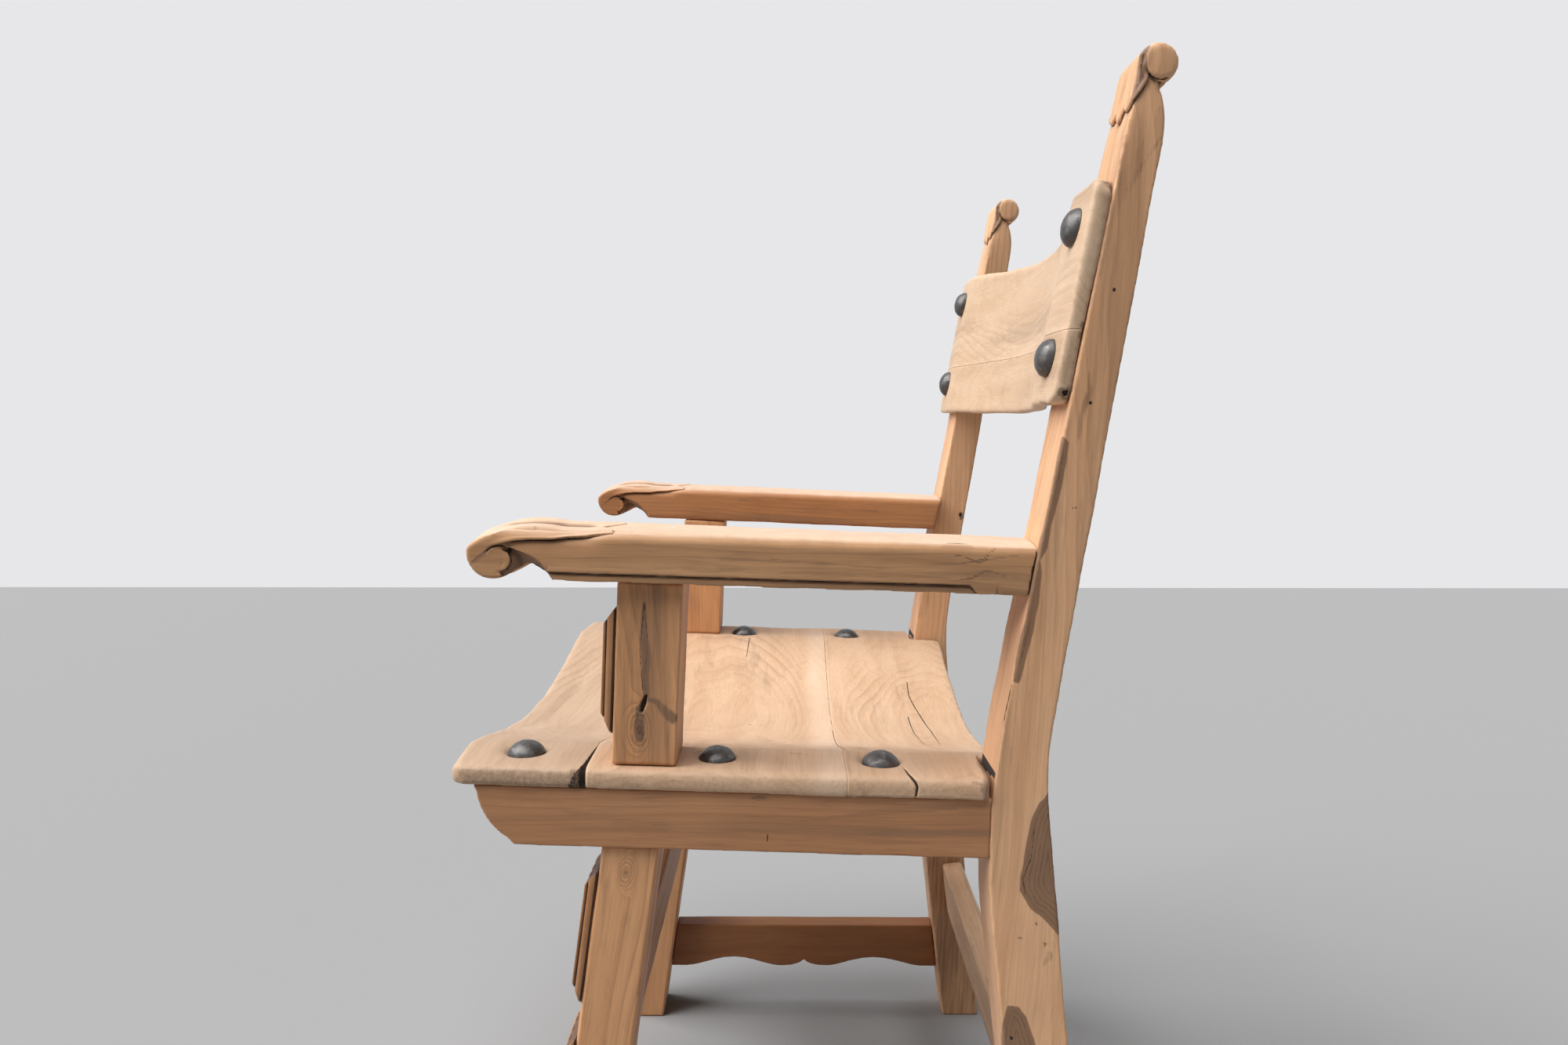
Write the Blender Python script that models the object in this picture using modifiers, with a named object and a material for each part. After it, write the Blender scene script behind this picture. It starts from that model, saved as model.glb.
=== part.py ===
"""Carved wooden armchair with scrolled arms and posts, a dished seat and back, and domed iron nails.

Metres, +Z up. The chair faces -Y, and its left side, as the sitter sees it, is at +X.
Outlines are drawn in the side plane as (y, z) pairs and given their thickness along X.
"""

import math

import bmesh
import bpy
import numpy as np
from mathutils import Matrix, Vector

# Fit between pieces that touch
GAP = 0.0003

# Side frames
FRAME_WIDTH = 0.566
SEAT_RAKE = math.radians(1.65)

# Back posts: one plank each, bent at the knee, with a scroll rolled to the back
POST_WIDTH = 0.0535
POST_HEIGHT = 1.0195
POST_KNEE_Y = 0.1388
POST_KNEE_Z = 0.450
POST_LOWER_RAKE = math.radians(6.55)
POST_UPPER_RAKE = math.radians(10.3)
POST_FOOT_DEPTH = 0.045
POST_KNEE_DEPTH = 0.0382
POST_KNEE_RISE = 0.049
POST_SHOULDER_DEPTH = 0.0275
POST_SHOULDER_DROP = 0.0495
POST_FRONT_KNEE_RADIUS = 0.60
POST_BACK_KNEE_RADIUS = 0.30
POST_SHOULDER_RADIUS = 0.08
POST_SCROLL_RADIUS = 0.0135
POST_NECK_ANGLE = math.radians(-78)

# Side seat rails with a moulded front end
RAIL_WIDTH = 0.0535
RAIL_HEIGHT = 0.046
RAIL_TOP_Z = 0.4763
RAIL_FRONT_Y = -0.2475
RAIL_COVE = 0.006
RAIL_COVE_HOLLOW = 0.0016
RAIL_OVOLO_LENGTH = 0.022
RAIL_OVOLO_DROP = 0.0355
RAIL_OVOLO_SWELL = 0.0046
RAIL_STEP = 0.005

# Front legs, raked forward
LEG_WIDTH = 0.0535
LEG_DEPTH = 0.0442
LEG_INSET = 0.005
LEG_TOP_Y = -0.1485
LEG_RAKE = math.radians(8.14)

# Arm supports, standing on the seat
SUPPORT_WIDTH = 0.0535
SUPPORT_DEPTH = 0.049
SUPPORT_INSET = 0.005
SUPPORT_FOOT_Y = -0.1408
SUPPORT_LEAN = math.radians(2.8)

# Arms, splayed to the front, with a scroll rolled under
ARM_WIDTH = 0.068
ARM_HEIGHT = 0.042
ARM_SWELL = 0.0015
ARM_BOTTOM_Z = 0.6326
ARM_RAKE = math.radians(2.16)
ARM_SPLAY = math.radians(2.2)
ARM_BACK_INSET = 0.002
ARM_FRONT_Y = -0.2407
ARM_SCROLL_RADIUS = 0.0195
ARM_SCROLL_START = math.radians(-60)
ARM_SCROLL_END = math.radians(-250)
ARM_CROWN_LENGTH = 0.056
ARM_CROWN_SWELL = 0.004
ARM_THROAT_LENGTH = 0.0172
ARM_THROAT_RISE = 0.011
ARM_THROAT_GAP = 0.0237
ARM_EYE_RADIUS = 0.0098
ARM_EYE_DROP = 0.0047
ARM_HOLLOW_START = math.radians(75)
ARM_HOLLOW_END = math.radians(-40)
ARM_HOLLOW_DEPTH = 0.008
ARM_HOLLOW_REACH = 0.024
ARM_HOLLOW_RISE = 0.0155
ARM_REBATE_HEIGHT = 0.0085
ARM_REBATE_DEPTH = 0.003
ARM_REBATE_STOP = 0.018

# Dished seat, glued up from three boards
SEAT_THICK = 0.016
SEAT_OVERHANG = 0.004
SEAT_FRONT_Y = -0.2635
SEAT_FRONT_BOW = 0.003
SEAT_BACK_Y = 0.1785
SEAT_FRONT_JOINT_Y = -0.1585
SEAT_BACK_JOINT_Y = 0.0370
SEAT_CORNER_RADIUS = 0.016
SEAT_EDGE_RADIUS = 0.007
SEAT_DISH_FRONT = 0.031
SEAT_DISH_BACK = 0.045
SEAT_DISH_MARGIN = 0.004
SEAT_DISH_POWER = 1.25

# Dished back panel, glued up from two boards and nailed to the front of the posts
PANEL_THICK = 0.0135
PANEL_TOP_DROP = 0.0905
PANEL_HEIGHT = 0.162
PANEL_JOINT_RISE = 0.054
PANEL_BOW = 0.035
PANEL_BOW_MARGIN = 0.006
PANEL_DIP = 0.013
PANEL_SAG = 0.003
PANEL_CORNER_RADIUS = 0.011
PANEL_EDGE_RADIUS = 0.004

# Stretchers
SIDE_STRETCHER_THICK = 0.024
SIDE_STRETCHER_INSET = 0.0075
SIDE_STRETCHER_TOP_Z = 0.111
SIDE_STRETCHER_HEIGHT = 0.055
SCALLOP_RISE = 0.0115
SCALLOP_CUSP_RISE = 0.0095
SCALLOP_LOBE = 0.030
SCALLOP_END = 0.022
SCALLOP_POWER = 1.5
BACK_STRETCHER_THICK = 0.024
BACK_STRETCHER_SETBACK = 0.0195
BACK_STRETCHER_BOTTOM_Z = 0.139
BACK_STRETCHER_HEIGHT = 0.064
FRONT_STRETCHER_THICK = 0.024
FRONT_STRETCHER_SETBACK = 0.001
FRONT_STRETCHER_BOTTOM_Z = 0.266
FRONT_STRETCHER_HEIGHT = 0.095

# Fluted tablets on the front of the supports and legs
TABLET_THICK = 0.0088
TABLET_TOP_BEVEL = 0.013
TABLET_BOTTOM_BEVEL = 0.018
TABLET_LIP = 0.0007
TABLET_QUIRK_WIDTH = 0.0014
TABLET_QUIRK_DEPTH = 0.0025
TABLET_GROOVE_WIDTH = 0.0019
TABLET_GROOVE_DEPTH = 0.0025
TABLET_FILLET = 0.0012
TABLET_FLUTES = 3
TABLET_FLUTE_RADIUS = 0.004
SUPPORT_TABLET_LENGTH = 0.0963
SUPPORT_TABLET_RISE = 0.0239
LEG_TABLET_LENGTH = 0.107
LEG_TABLET_DROP = 0.0214
LEG_TABLET_SPACING = 0.1345

# Domed iron nails
NAIL_RADIUS = 0.0145
NAIL_RISE = 0.0105
NAIL_RIM = 0.0012
NAIL_SHANK_RADIUS = 0.0027
NAIL_BITE = 0.016
SEAT_NAIL_SINK = 0.0033
SEAT_NAIL_INSET = 0.0375
SEAT_NAIL_FRONT_Y = -0.2123
SEAT_NAIL_MIDDLE_Y = -0.0626
SEAT_NAIL_BACK_Y = 0.0654
PANEL_NAIL_INSET = 0.033
PANEL_NAIL_LOWER_RISE = 0.0353
PANEL_NAIL_UPPER_DROP = 0.031

# Tenons: thickness and width, reach into the mortise, and the root inside their own piece
FRAME_TENON = (0.020, 0.024)
FRAME_TENON_REACH = 0.022
UPRIGHT_TENON_REACH = 0.015
STRETCHER_TENON = (0.011, 0.034)
STRETCHER_TENON_REACH = 0.018
TENON_ROOT = 0.012

# Eased edges and the fineness of the curves
EASE = 0.0018
ARM_EASE = 0.0045
ARC_STEPS = 7
SCROLL_STEPS = 18
SCALLOP_STEPS = 10
NAIL_STEPS = 20
DISH_STATIONS = 8
EASE_STATIONS = 3
EASE_ANGLE = math.radians(35)
SHARP_ANGLE = math.radians(30)
WELD = 1e-6

# Colours, as linear values, of the stripped wood and the old iron
PALE_WOOD = (0.53, 0.31, 0.17)
WARM_WOOD = (0.47, 0.25, 0.13)
BROWN_WOOD = (0.40, 0.21, 0.11)
OLD_IRON = (0.045, 0.045, 0.05)
WOOD_ROUGHNESS = 0.62
IRON_ROUGHNESS = 0.38

SIDES = (("left", 1), ("right", -1))
HALF_FRAME = FRAME_WIDTH / 2
POST_X = HALF_FRAME - POST_WIDTH / 2
RAIL_X = HALF_FRAME - RAIL_WIDTH / 2
LEG_X = HALF_FRAME - LEG_INSET - LEG_WIDTH / 2
SUPPORT_X = HALF_FRAME - SUPPORT_INSET - SUPPORT_WIDTH / 2
SEAT_HALF = HALF_FRAME + SEAT_OVERHANG
DISH_HALF = HALF_FRAME - RAIL_WIDTH - SEAT_DISH_MARGIN
PANEL_BOW_HALF = HALF_FRAME - POST_WIDTH - PANEL_BOW_MARGIN
PANEL_TOP_Z = POST_HEIGHT - PANEL_TOP_DROP
PANEL_BOTTOM_Z = PANEL_TOP_Z - PANEL_HEIGHT
PANEL_JOINT_Z = PANEL_BOTTOM_Z + PANEL_JOINT_RISE
STRETCHER_X = HALF_FRAME - LEG_INSET - SIDE_STRETCHER_INSET - SIDE_STRETCHER_THICK / 2


def arc(centre, radius, start, end, steps):
    """Points on a circle between two angles."""
    angles = np.linspace(start, end, steps + 1)
    return [Vector((centre[0] + radius * math.cos(a), centre[1] + radius * math.sin(a))) for a in angles]


def bowed(start, end, swell, steps=ARC_STEPS):
    """Points on the circular arc from start to end that swells to the left of its chord."""
    start, end = Vector(start), Vector(end)
    chord = end - start
    left = Vector((-chord.y, chord.x)).normalized() * math.copysign(1, swell)
    rise = abs(swell)
    radius = (chord.length_squared / 4 + rise**2) / (2 * rise)
    points = []
    for share in np.linspace(0, 1, steps + 1):
        along = (share - 0.5) * chord.length
        lift = math.sqrt(radius**2 - along**2) - (radius - rise)
        points.append(start + chord * share + left * lift)
    return points


def rounded(corners):
    """The open outline through (y, z, radius) corners, with each corner rounded by its radius."""
    path = []
    for index, (y, z, radius) in enumerate(corners):
        corner = Vector((y, z))
        if radius == 0:
            path.append(corner)
            continue
        before = (Vector(corners[index - 1][:2]) - corner).normalized()
        after = (Vector(corners[index + 1][:2]) - corner).normalized()
        half = before.angle(after) / 2
        centre = corner + (before + after).normalized() * radius / math.sin(half)
        start = corner + before * radius / math.tan(half) - centre
        turn = start.angle_signed(corner + after * radius / math.tan(half) - centre)
        first = math.atan2(start.y, start.x)
        path += arc(centre, radius, first, first - turn, ARC_STEPS)
    return path


def ease_drop(distance, radius):
    """How far a rounded edge falls away at this distance in from the edge."""
    short = radius - min(max(distance, 0), radius)
    return radius - math.sqrt(max(radius**2 - short**2, 0))


# Lines of the frame in the side plane

def rail_top(y):
    return RAIL_TOP_Z - math.tan(SEAT_RAKE) * y


def rail_bottom(y):
    return rail_top(y) - RAIL_HEIGHT


def seat_face(y):
    """Top of the seat's flat sides."""
    return rail_top(y) + GAP + SEAT_THICK


def arm_bottom(y):
    return ARM_BOTTOM_Z - math.tan(ARM_RAKE) * y


def leg_front(z):
    return LEG_TOP_Y - (rail_bottom(LEG_TOP_Y) - z) * math.tan(LEG_RAKE)


def leg_back(z):
    return leg_front(z) + LEG_DEPTH


def support_front(z):
    return SUPPORT_FOOT_Y + (z - seat_face(SUPPORT_FOOT_Y)) * math.tan(SUPPORT_LEAN)


def post_line(z):
    """The post's front edge with its knee left sharp."""
    rake = -math.tan(POST_LOWER_RAKE) if z < POST_KNEE_Z else math.tan(POST_UPPER_RAKE)
    return POST_KNEE_Y + (z - POST_KNEE_Z) * rake


SCROLL_CENTRE_Z = POST_HEIGHT - POST_SCROLL_RADIUS
SCROLL_CENTRE = (
    post_line(SCROLL_CENTRE_Z) + POST_SCROLL_RADIUS / math.cos(POST_UPPER_RAKE),
    SCROLL_CENTRE_Z,
)
SCROLL_START = math.pi - POST_UPPER_RAKE
POST_SCROLL = arc(SCROLL_CENTRE, POST_SCROLL_RADIUS, SCROLL_START, POST_NECK_ANGLE, SCROLL_STEPS)
POST_FRONT_EDGE = rounded(
    [
        (post_line(0), 0, 0),
        (POST_KNEE_Y, POST_KNEE_Z, POST_FRONT_KNEE_RADIUS),
        (POST_SCROLL[0].x, POST_SCROLL[0].y, 0),
    ]
)


def post_front(z):
    """Where the post's front face is at this height."""
    return float(np.interp(z, [p.y for p in POST_FRONT_EDGE], [p.x for p in POST_FRONT_EDGE]))


# Building blocks

def clear_scene():
    for obj in list(bpy.data.objects):
        bpy.data.objects.remove(obj)
    for group in list(bpy.data.collections):
        bpy.data.collections.remove(group)


def new_collection(name):
    group = bpy.data.collections.new(name)
    bpy.context.scene.collection.children.link(group)
    return group


def finish(name, colour, roughness=WOOD_ROUGHNESS, metallic=0.0):
    """A Principled material."""
    made = bpy.data.materials.new(name)
    made.use_nodes = True
    shader = made.node_tree.nodes["Principled BSDF"]
    shader.inputs["Base Color"].default_value = (*colour, 1)
    shader.inputs["Roughness"].default_value = roughness
    shader.inputs["Metallic"].default_value = metallic
    return made


def add_object(name, mesh, group, place=(0, 0, 0), turn=(0, 0, 0)):
    obj = bpy.data.objects.new(name, mesh)
    obj.location = place
    obj.rotation_euler = turn
    group.objects.link(obj)
    return obj


def mesh_from(name, shape):
    mesh = bpy.data.meshes.new(name)
    shape.to_mesh(mesh)
    shape.free()
    return mesh


def extruded(name, outline, thickness, group, place=(0, 0, 0), turn=(0, 0, 0)):
    """A mesh object: a flat outline drawn as a 2D curve, with half its thickness to each side."""
    curve = bpy.data.curves.new(name, "CURVE")
    curve.dimensions = "2D"
    curve.fill_mode = "BOTH"
    curve.extrude = thickness / 2
    spline = curve.splines.new("POLY")
    spline.points.add(len(outline) - 1)
    for point, (a, b) in zip(spline.points, outline):
        point.co = (a, b, 0, 1)
    spline.use_cyclic_u = True
    drawn = add_object(name + "_outline", curve, group, place, turn)
    bpy.context.view_layer.update()
    graph = bpy.context.evaluated_depsgraph_get()
    shape = bmesh.new()
    filled = bpy.data.meshes.new_from_object(drawn.evaluated_get(graph))
    shape.from_mesh(filled)
    bmesh.ops.remove_doubles(shape, verts=shape.verts, dist=WELD)
    bmesh.ops.recalc_face_normals(shape, faces=shape.faces)
    obj = add_object(name, mesh_from(name, shape), group)
    obj.matrix_world = drawn.matrix_world.copy()
    bpy.data.objects.remove(drawn)
    bpy.data.meshes.remove(filled)
    return obj


def side_profile(name, outline, thickness, x, group):
    """A plank cut to a (y, z) outline, centred at x."""
    return extruded(name, outline, thickness, group, (x, 0, 0), (math.pi / 2, 0, math.pi / 2))


def block(name, size, place, turn, group):
    shape = bmesh.new()
    bmesh.ops.create_cube(shape, size=1)
    bmesh.ops.scale(shape, vec=size, verts=shape.verts)
    return add_object(name, mesh_from(name, shape), group, place, turn)


def slab(name, us, vs, front, back, group):
    """A closed sheet between two surfaces, each a function of the same two stations."""
    shape = bmesh.new()
    rows = [[[shape.verts.new(face(u, v)) for v in vs] for u in us] for face in (front, back)]
    last_u, last_v = len(us) - 1, len(vs) - 1
    for face in rows:
        for i in range(last_u):
            for j in range(last_v):
                shape.faces.new((face[i][j], face[i + 1][j], face[i + 1][j + 1], face[i][j + 1]))
    rim = [(i, 0) for i in range(last_u)] + [(last_u, j) for j in range(last_v)]
    rim += [(i, last_v) for i in range(last_u, 0, -1)] + [(0, j) for j in range(last_v, 0, -1)]
    for (i, j), (k, m) in zip(rim, rim[1:] + rim[:1]):
        shape.faces.new((rows[0][i][j], rows[0][k][m], rows[1][k][m], rows[1][i][j]))
    bmesh.ops.recalc_face_normals(shape, faces=shape.faces)
    return add_object(name, mesh_from(name, shape), group)


class Workshop:
    """Holds the collections, and cuts, joins and finishes the pieces."""

    def __init__(self):
        self.parts = new_collection("carved_armchair")
        self.cutters = new_collection("cutters")

    def helper(self, obj):
        obj.hide_render = True
        obj.display_type = "WIRE"
        return obj

    def boolean(self, target, tool, operation):
        modifier = target.modifiers.new(tool.name, "BOOLEAN")
        modifier.operation = operation
        modifier.solver = "EXACT"
        modifier.object = self.helper(tool)

    def cut(self, target, tool):
        self.boolean(target, tool, "DIFFERENCE")

    def ease(self, obj, width=EASE, segments=1):
        modifier = obj.modifiers.new("eased_edges", "BEVEL")
        modifier.width = width
        modifier.segments = segments
        modifier.limit_method = "ANGLE"
        modifier.angle_limit = EASE_ANGLE
        return obj

    def tenon(self, name, owner, sockets, size, place, turn=(0, 0, 0)):
        """A tenon on its owner, with a mortise of the same size plus the gap in each socket."""
        tongue = block(name + "_tenon", size, place, turn, self.cutters)
        self.boolean(owner, tongue, "UNION")
        room = [side + 2 * GAP for side in size]
        for socket in sockets:
            self.cut(socket, block(name + "_mortise_" + socket.name, room, place, turn, self.cutters))

    def dress(self, obj, material):
        obj.data.materials.clear()
        obj.data.materials.append(material)
        obj.data.shade_smooth()
        obj.data.set_sharp_from_angle(angle=SHARP_ANGLE)


def post_outline():
    """Front edge up, round the scroll, and down the back edge."""
    neck = POST_SCROLL[-1]
    shoulder_z = POST_HEIGHT - POST_SHOULDER_DROP
    knee_z = POST_KNEE_Z + POST_KNEE_RISE
    back_edge = rounded(
        [
            (neck.x, neck.y, 0),
            (post_line(shoulder_z) + POST_SHOULDER_DEPTH, shoulder_z, POST_SHOULDER_RADIUS),
            (post_line(knee_z) + POST_KNEE_DEPTH, knee_z, POST_BACK_KNEE_RADIUS),
            (post_line(0) + POST_FOOT_DEPTH, 0, 0),
        ]
    )
    return POST_FRONT_EDGE + POST_SCROLL[1:] + back_edge[1:]


def rail_outline():
    """Moulded front end, then along the bottom, up the post and back along the top."""
    cove_y = RAIL_FRONT_Y + RAIL_COVE
    cove_z = rail_top(RAIL_FRONT_Y) - RAIL_COVE
    ovolo_y = cove_y + RAIL_OVOLO_LENGTH
    ovolo_z = cove_z - RAIL_OVOLO_DROP
    toe_y = ovolo_y + RAIL_STEP
    outline = bowed((RAIL_FRONT_Y, rail_top(RAIL_FRONT_Y)), (cove_y, cove_z), RAIL_COVE_HOLLOW)
    outline += bowed((cove_y, cove_z), (ovolo_y, ovolo_z), -RAIL_OVOLO_SWELL)[1:]
    outline.append(Vector((toe_y, rail_bottom(toe_y))))
    low, high = rail_bottom(POST_KNEE_Y), rail_top(POST_KNEE_Y)
    outline += [Vector((post_front(z) - GAP, z)) for z in np.linspace(low, high, ARC_STEPS)]
    return outline


def arm_point(y, rise):
    return Vector((y, arm_bottom(y) + rise))


def arm_outline():
    """Along the bottom to the throat, round the scroll, and back along the crowned top."""
    centre_y = ARM_FRONT_Y + ARM_SCROLL_RADIUS
    throat_y = centre_y + ARM_THROAT_GAP
    lip_y = throat_y + ARM_THROAT_LENGTH
    cove = [
        arm_point(throat_y + ARM_THROAT_LENGTH * math.cos(t), ARM_THROAT_RISE * math.sin(t))
        for t in np.linspace(0, math.pi / 2, ARC_STEPS + 1)
    ]
    centre = arm_point(centre_y, ARM_SCROLL_RADIUS)
    scroll = arc(centre, ARM_SCROLL_RADIUS, ARM_SCROLL_START, ARM_SCROLL_END, SCROLL_STEPS)
    crown_y = scroll[-1].x + ARM_CROWN_LENGTH
    crown = bowed(scroll[-1], arm_point(crown_y, ARM_HEIGHT + ARM_SWELL), ARM_CROWN_SWELL)
    heel = post_meets(0)
    toe = post_meets(ARM_HEIGHT)
    return [heel, arm_point(lip_y + EASE, 0)] + cove[1:] + scroll + crown[1:] + [toe]


def post_meets(rise):
    """Where the arm's line at this height above its underside meets the post."""
    slope = math.tan(POST_UPPER_RAKE)
    y = (post_line(POST_HEIGHT) - (POST_HEIGHT - ARM_BOTTOM_Z - rise) * slope - GAP) / (
        1 + slope * math.tan(ARM_RAKE)
    )
    return arm_point(y, rise)


def throat_hollow():
    """The hollow carved between the scroll's eye and the arm, as seen on the arm's side."""
    centre_y = ARM_FRONT_Y + ARM_SCROLL_RADIUS
    eye = arm_point(centre_y, ARM_SCROLL_RADIUS - ARM_EYE_DROP)
    rim = arc(eye, ARM_EYE_RADIUS, ARM_HOLLOW_START, ARM_HOLLOW_END, ARC_STEPS)
    tip = arm_point(centre_y + ARM_THROAT_GAP + ARM_THROAT_LENGTH - EASE, -EASE)
    low = arm_point(centre_y + ARM_THROAT_GAP, -EASE)
    high = arm_point(centre_y + ARM_HOLLOW_REACH, ARM_HOLLOW_RISE + EASE)
    return rim + [low, tip, high]


def stretcher_outline():
    """Level top, with a scalloped lower edge of two arches that meet in a cusp."""
    bottom_z = SIDE_STRETCHER_TOP_Z - SIDE_STRETCHER_HEIGHT
    front = leg_back(bottom_z) + GAP
    back = post_front(bottom_z) - GAP
    middle = (front + back) / 2
    arch_end = (back - front) / 2 - SCALLOP_END
    lower = []
    for away in np.linspace(0, 1, SCALLOP_STEPS + 1):
        short = math.sqrt(max(1 - (1 - away) ** 2, 0))
        lower.append((away * SCALLOP_LOBE, SCALLOP_CUSP_RISE * (1 - short)))
    for share in np.linspace(0, 1, SCALLOP_STEPS + 1)[1:]:
        lower.append(
            (
                SCALLOP_LOBE + share * (arch_end - SCALLOP_LOBE),
                SCALLOP_RISE * math.sin(math.pi * share) ** SCALLOP_POWER,
            )
        )
    to_back = [Vector((middle + away, bottom_z + rise)) for away, rise in lower]
    to_front = [Vector((middle - away, bottom_z + rise)) for away, rise in reversed(lower[1:])]
    ends = [
        Vector((back, bottom_z)),
        Vector((post_front(SIDE_STRETCHER_TOP_Z) - GAP, SIDE_STRETCHER_TOP_Z)),
        Vector((leg_back(SIDE_STRETCHER_TOP_Z) + GAP, SIDE_STRETCHER_TOP_Z)),
        Vector((front, bottom_z)),
    ]
    return to_front + to_back + ends


def seat_front(x):
    """The seat's front edge in plan: bowed, with rounded corners."""
    bow = SEAT_FRONT_BOW * (1 - (x / SEAT_HALF) ** 2)
    corner = ease_drop(SEAT_HALF - abs(x), SEAT_CORNER_RADIUS)
    return SEAT_FRONT_Y - bow + corner


def seat_dish(x, y):
    """How far the seat is hollowed at this place."""
    share = (y - SEAT_FRONT_Y) / (SEAT_BACK_Y - SEAT_FRONT_Y)
    depth = SEAT_DISH_FRONT + share * (SEAT_DISH_BACK - SEAT_DISH_FRONT)
    inside = max(1 - (x / DISH_HALF) ** 2, 0)
    return depth * inside**SEAT_DISH_POWER


def mirrored_stations(edge, radius, inner):
    """Stations from one side to the other: close at the eased edges, even across the hollow."""
    eased = [edge - radius * (1 - math.cos(t)) for t in np.linspace(0, math.pi / 2, EASE_STATIONS + 1)]
    half = eased + [inner * share for share in np.linspace(1, 0, DISH_STATIONS + 1)]
    return [-u for u in half[:-1]] + half[::-1]


def seat_board(name, front_y, back_y, group, nosed=False):
    """One board of the seat: front_y is a function of x, and back_y a place."""
    def place(x, share):
        return front_y(x) + share * (back_y - front_y(x))

    def top(x, share):
        y = place(x, share)
        fall = ease_drop(SEAT_HALF - abs(x), SEAT_EDGE_RADIUS)
        if nosed:
            fall = max(fall, ease_drop(y - front_y(x), SEAT_EDGE_RADIUS))
        return (x, y, seat_face(y) - seat_dish(x, y) - fall)

    def underside(x, share):
        y = place(x, share)
        lift = ease_drop(y - front_y(x), SEAT_EDGE_RADIUS / 2) if nosed else 0
        return (x, y, seat_face(y) - seat_dish(x, y) - SEAT_THICK + lift)

    shares = [0, 1]
    if nosed:
        length = back_y - SEAT_FRONT_Y
        turns = np.linspace(0, math.pi / 2, EASE_STATIONS + 1)
        shares = [SEAT_EDGE_RADIUS * (1 - math.cos(t)) / length for t in turns] + [1]
    stations = mirrored_stations(SEAT_HALF, SEAT_EDGE_RADIUS, DISH_HALF)
    return slab(name, stations, shares, top, underside, group)


def panel_hollow(x):
    """Share of the panel's hollow at this place across: 1 in the middle, 0 over the posts."""
    return max(1 - (x / PANEL_BOW_HALF) ** 2, 0) ** SEAT_DISH_POWER


def panel_edge_z(x, level, hollow_drop, corner_sign):
    corner = ease_drop(HALF_FRAME - abs(x), PANEL_CORNER_RADIUS)
    return level - hollow_drop * panel_hollow(x) - corner_sign * corner


def panel_top(x):
    return panel_edge_z(x, PANEL_TOP_Z, PANEL_DIP, 1)


def panel_bottom(x):
    return panel_edge_z(x, PANEL_BOTTOM_Z, PANEL_SAG, -1)


def panel_back(x, z):
    """The panel's back face: on the posts at its ends, bowed back between them."""
    return post_line(z) - GAP + PANEL_BOW * panel_hollow(x)


def panel_board(name, low, high, group, eased_low, eased_high):
    """One board of the back panel, between two edges that are functions of x."""
    def front(x, share):
        z = low(x) + share * (high(x) - low(x))
        fall = ease_drop(HALF_FRAME - abs(x), PANEL_EDGE_RADIUS)
        if eased_low:
            fall = max(fall, ease_drop(z - low(x), PANEL_EDGE_RADIUS))
        if eased_high:
            fall = max(fall, ease_drop(high(x) - z, PANEL_EDGE_RADIUS))
        return (x, panel_back(x, z) - PANEL_THICK + fall, z)

    def back(x, share):
        z = low(x) + share * (high(x) - low(x))
        return (x, panel_back(x, z), z)

    height = high(0) - low(0)
    turns = np.linspace(0, math.pi / 2, EASE_STATIONS + 1)
    near = [PANEL_EDGE_RADIUS * (1 - math.cos(t)) / height for t in turns]
    shares = (near if eased_low else [0]) + ([1 - s for s in reversed(near)] if eased_high else [1])
    stations = mirrored_stations(HALF_FRAME, PANEL_CORNER_RADIUS, PANEL_BOW_HALF)
    return slab(name, stations, shares, front, back, group)


def tablet_section(width):
    """Section of a tablet: flat back, a quirk and a groove down each edge, flutes down the front."""
    half = width / 2
    groove = TABLET_THICK - TABLET_FILLET - TABLET_GROOVE_WIDTH
    edge = [
        (half - TABLET_QUIRK_DEPTH, 0),
        (half - TABLET_QUIRK_DEPTH, TABLET_QUIRK_WIDTH),
        (half, TABLET_QUIRK_WIDTH),
        (half, groove),
        (half - TABLET_GROOVE_DEPTH, groove + TABLET_GROOVE_WIDTH / 2),
        (half, groove + TABLET_GROOVE_WIDTH),
        (half, TABLET_THICK),
    ]
    section = [Vector((x, -depth)) for x, depth in edge]
    pitch = width / (TABLET_FLUTES + 1)
    for flute in range(1, TABLET_FLUTES + 1):
        section += arc((half - flute * pitch, -TABLET_THICK), TABLET_FLUTE_RADIUS, 0, math.pi, ARC_STEPS)
    return section + [Vector((-x, -depth)) for x, depth in reversed(edge)]


def nail_profile():
    """Down the dome from its top, under the rim, and down the shank to its point."""
    dome = NAIL_RISE - NAIL_RIM
    points = [
        (NAIL_RADIUS * math.sin(t), NAIL_RIM + dome * math.cos(t))
        for t in np.linspace(0, math.pi / 2, ARC_STEPS + 1)
    ]
    return points + [(NAIL_RADIUS, 0), (NAIL_SHANK_RADIUS, 0)]


def nail_mesh(name, through):
    """A domed nail with its head's underside at the origin and a shank that passes through a board."""
    length = through + NAIL_BITE
    tip = 2 * NAIL_SHANK_RADIUS
    profile = nail_profile() + [(NAIL_SHANK_RADIUS, tip - length), (0, -length)]
    shape = bmesh.new()
    verts = [shape.verts.new((r, 0, z)) for r, z in profile]
    for upper, lower in zip(verts, verts[1:]):
        shape.edges.new((upper, lower))
    return mesh_from(name, shape)


def drill(shop, name, radius, depth, place, turn, boards):
    """A round hole this deep in each board, centred on the place and open above it."""
    shape = bmesh.new()
    bmesh.ops.create_cone(
        shape, cap_ends=True, segments=NAIL_STEPS, radius1=radius, radius2=radius, depth=2 * depth
    )
    hole = add_object(name, mesh_from(name, shape), shop.cutters, place, turn)
    for board in boards:
        shop.cut(board, hole)


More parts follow.
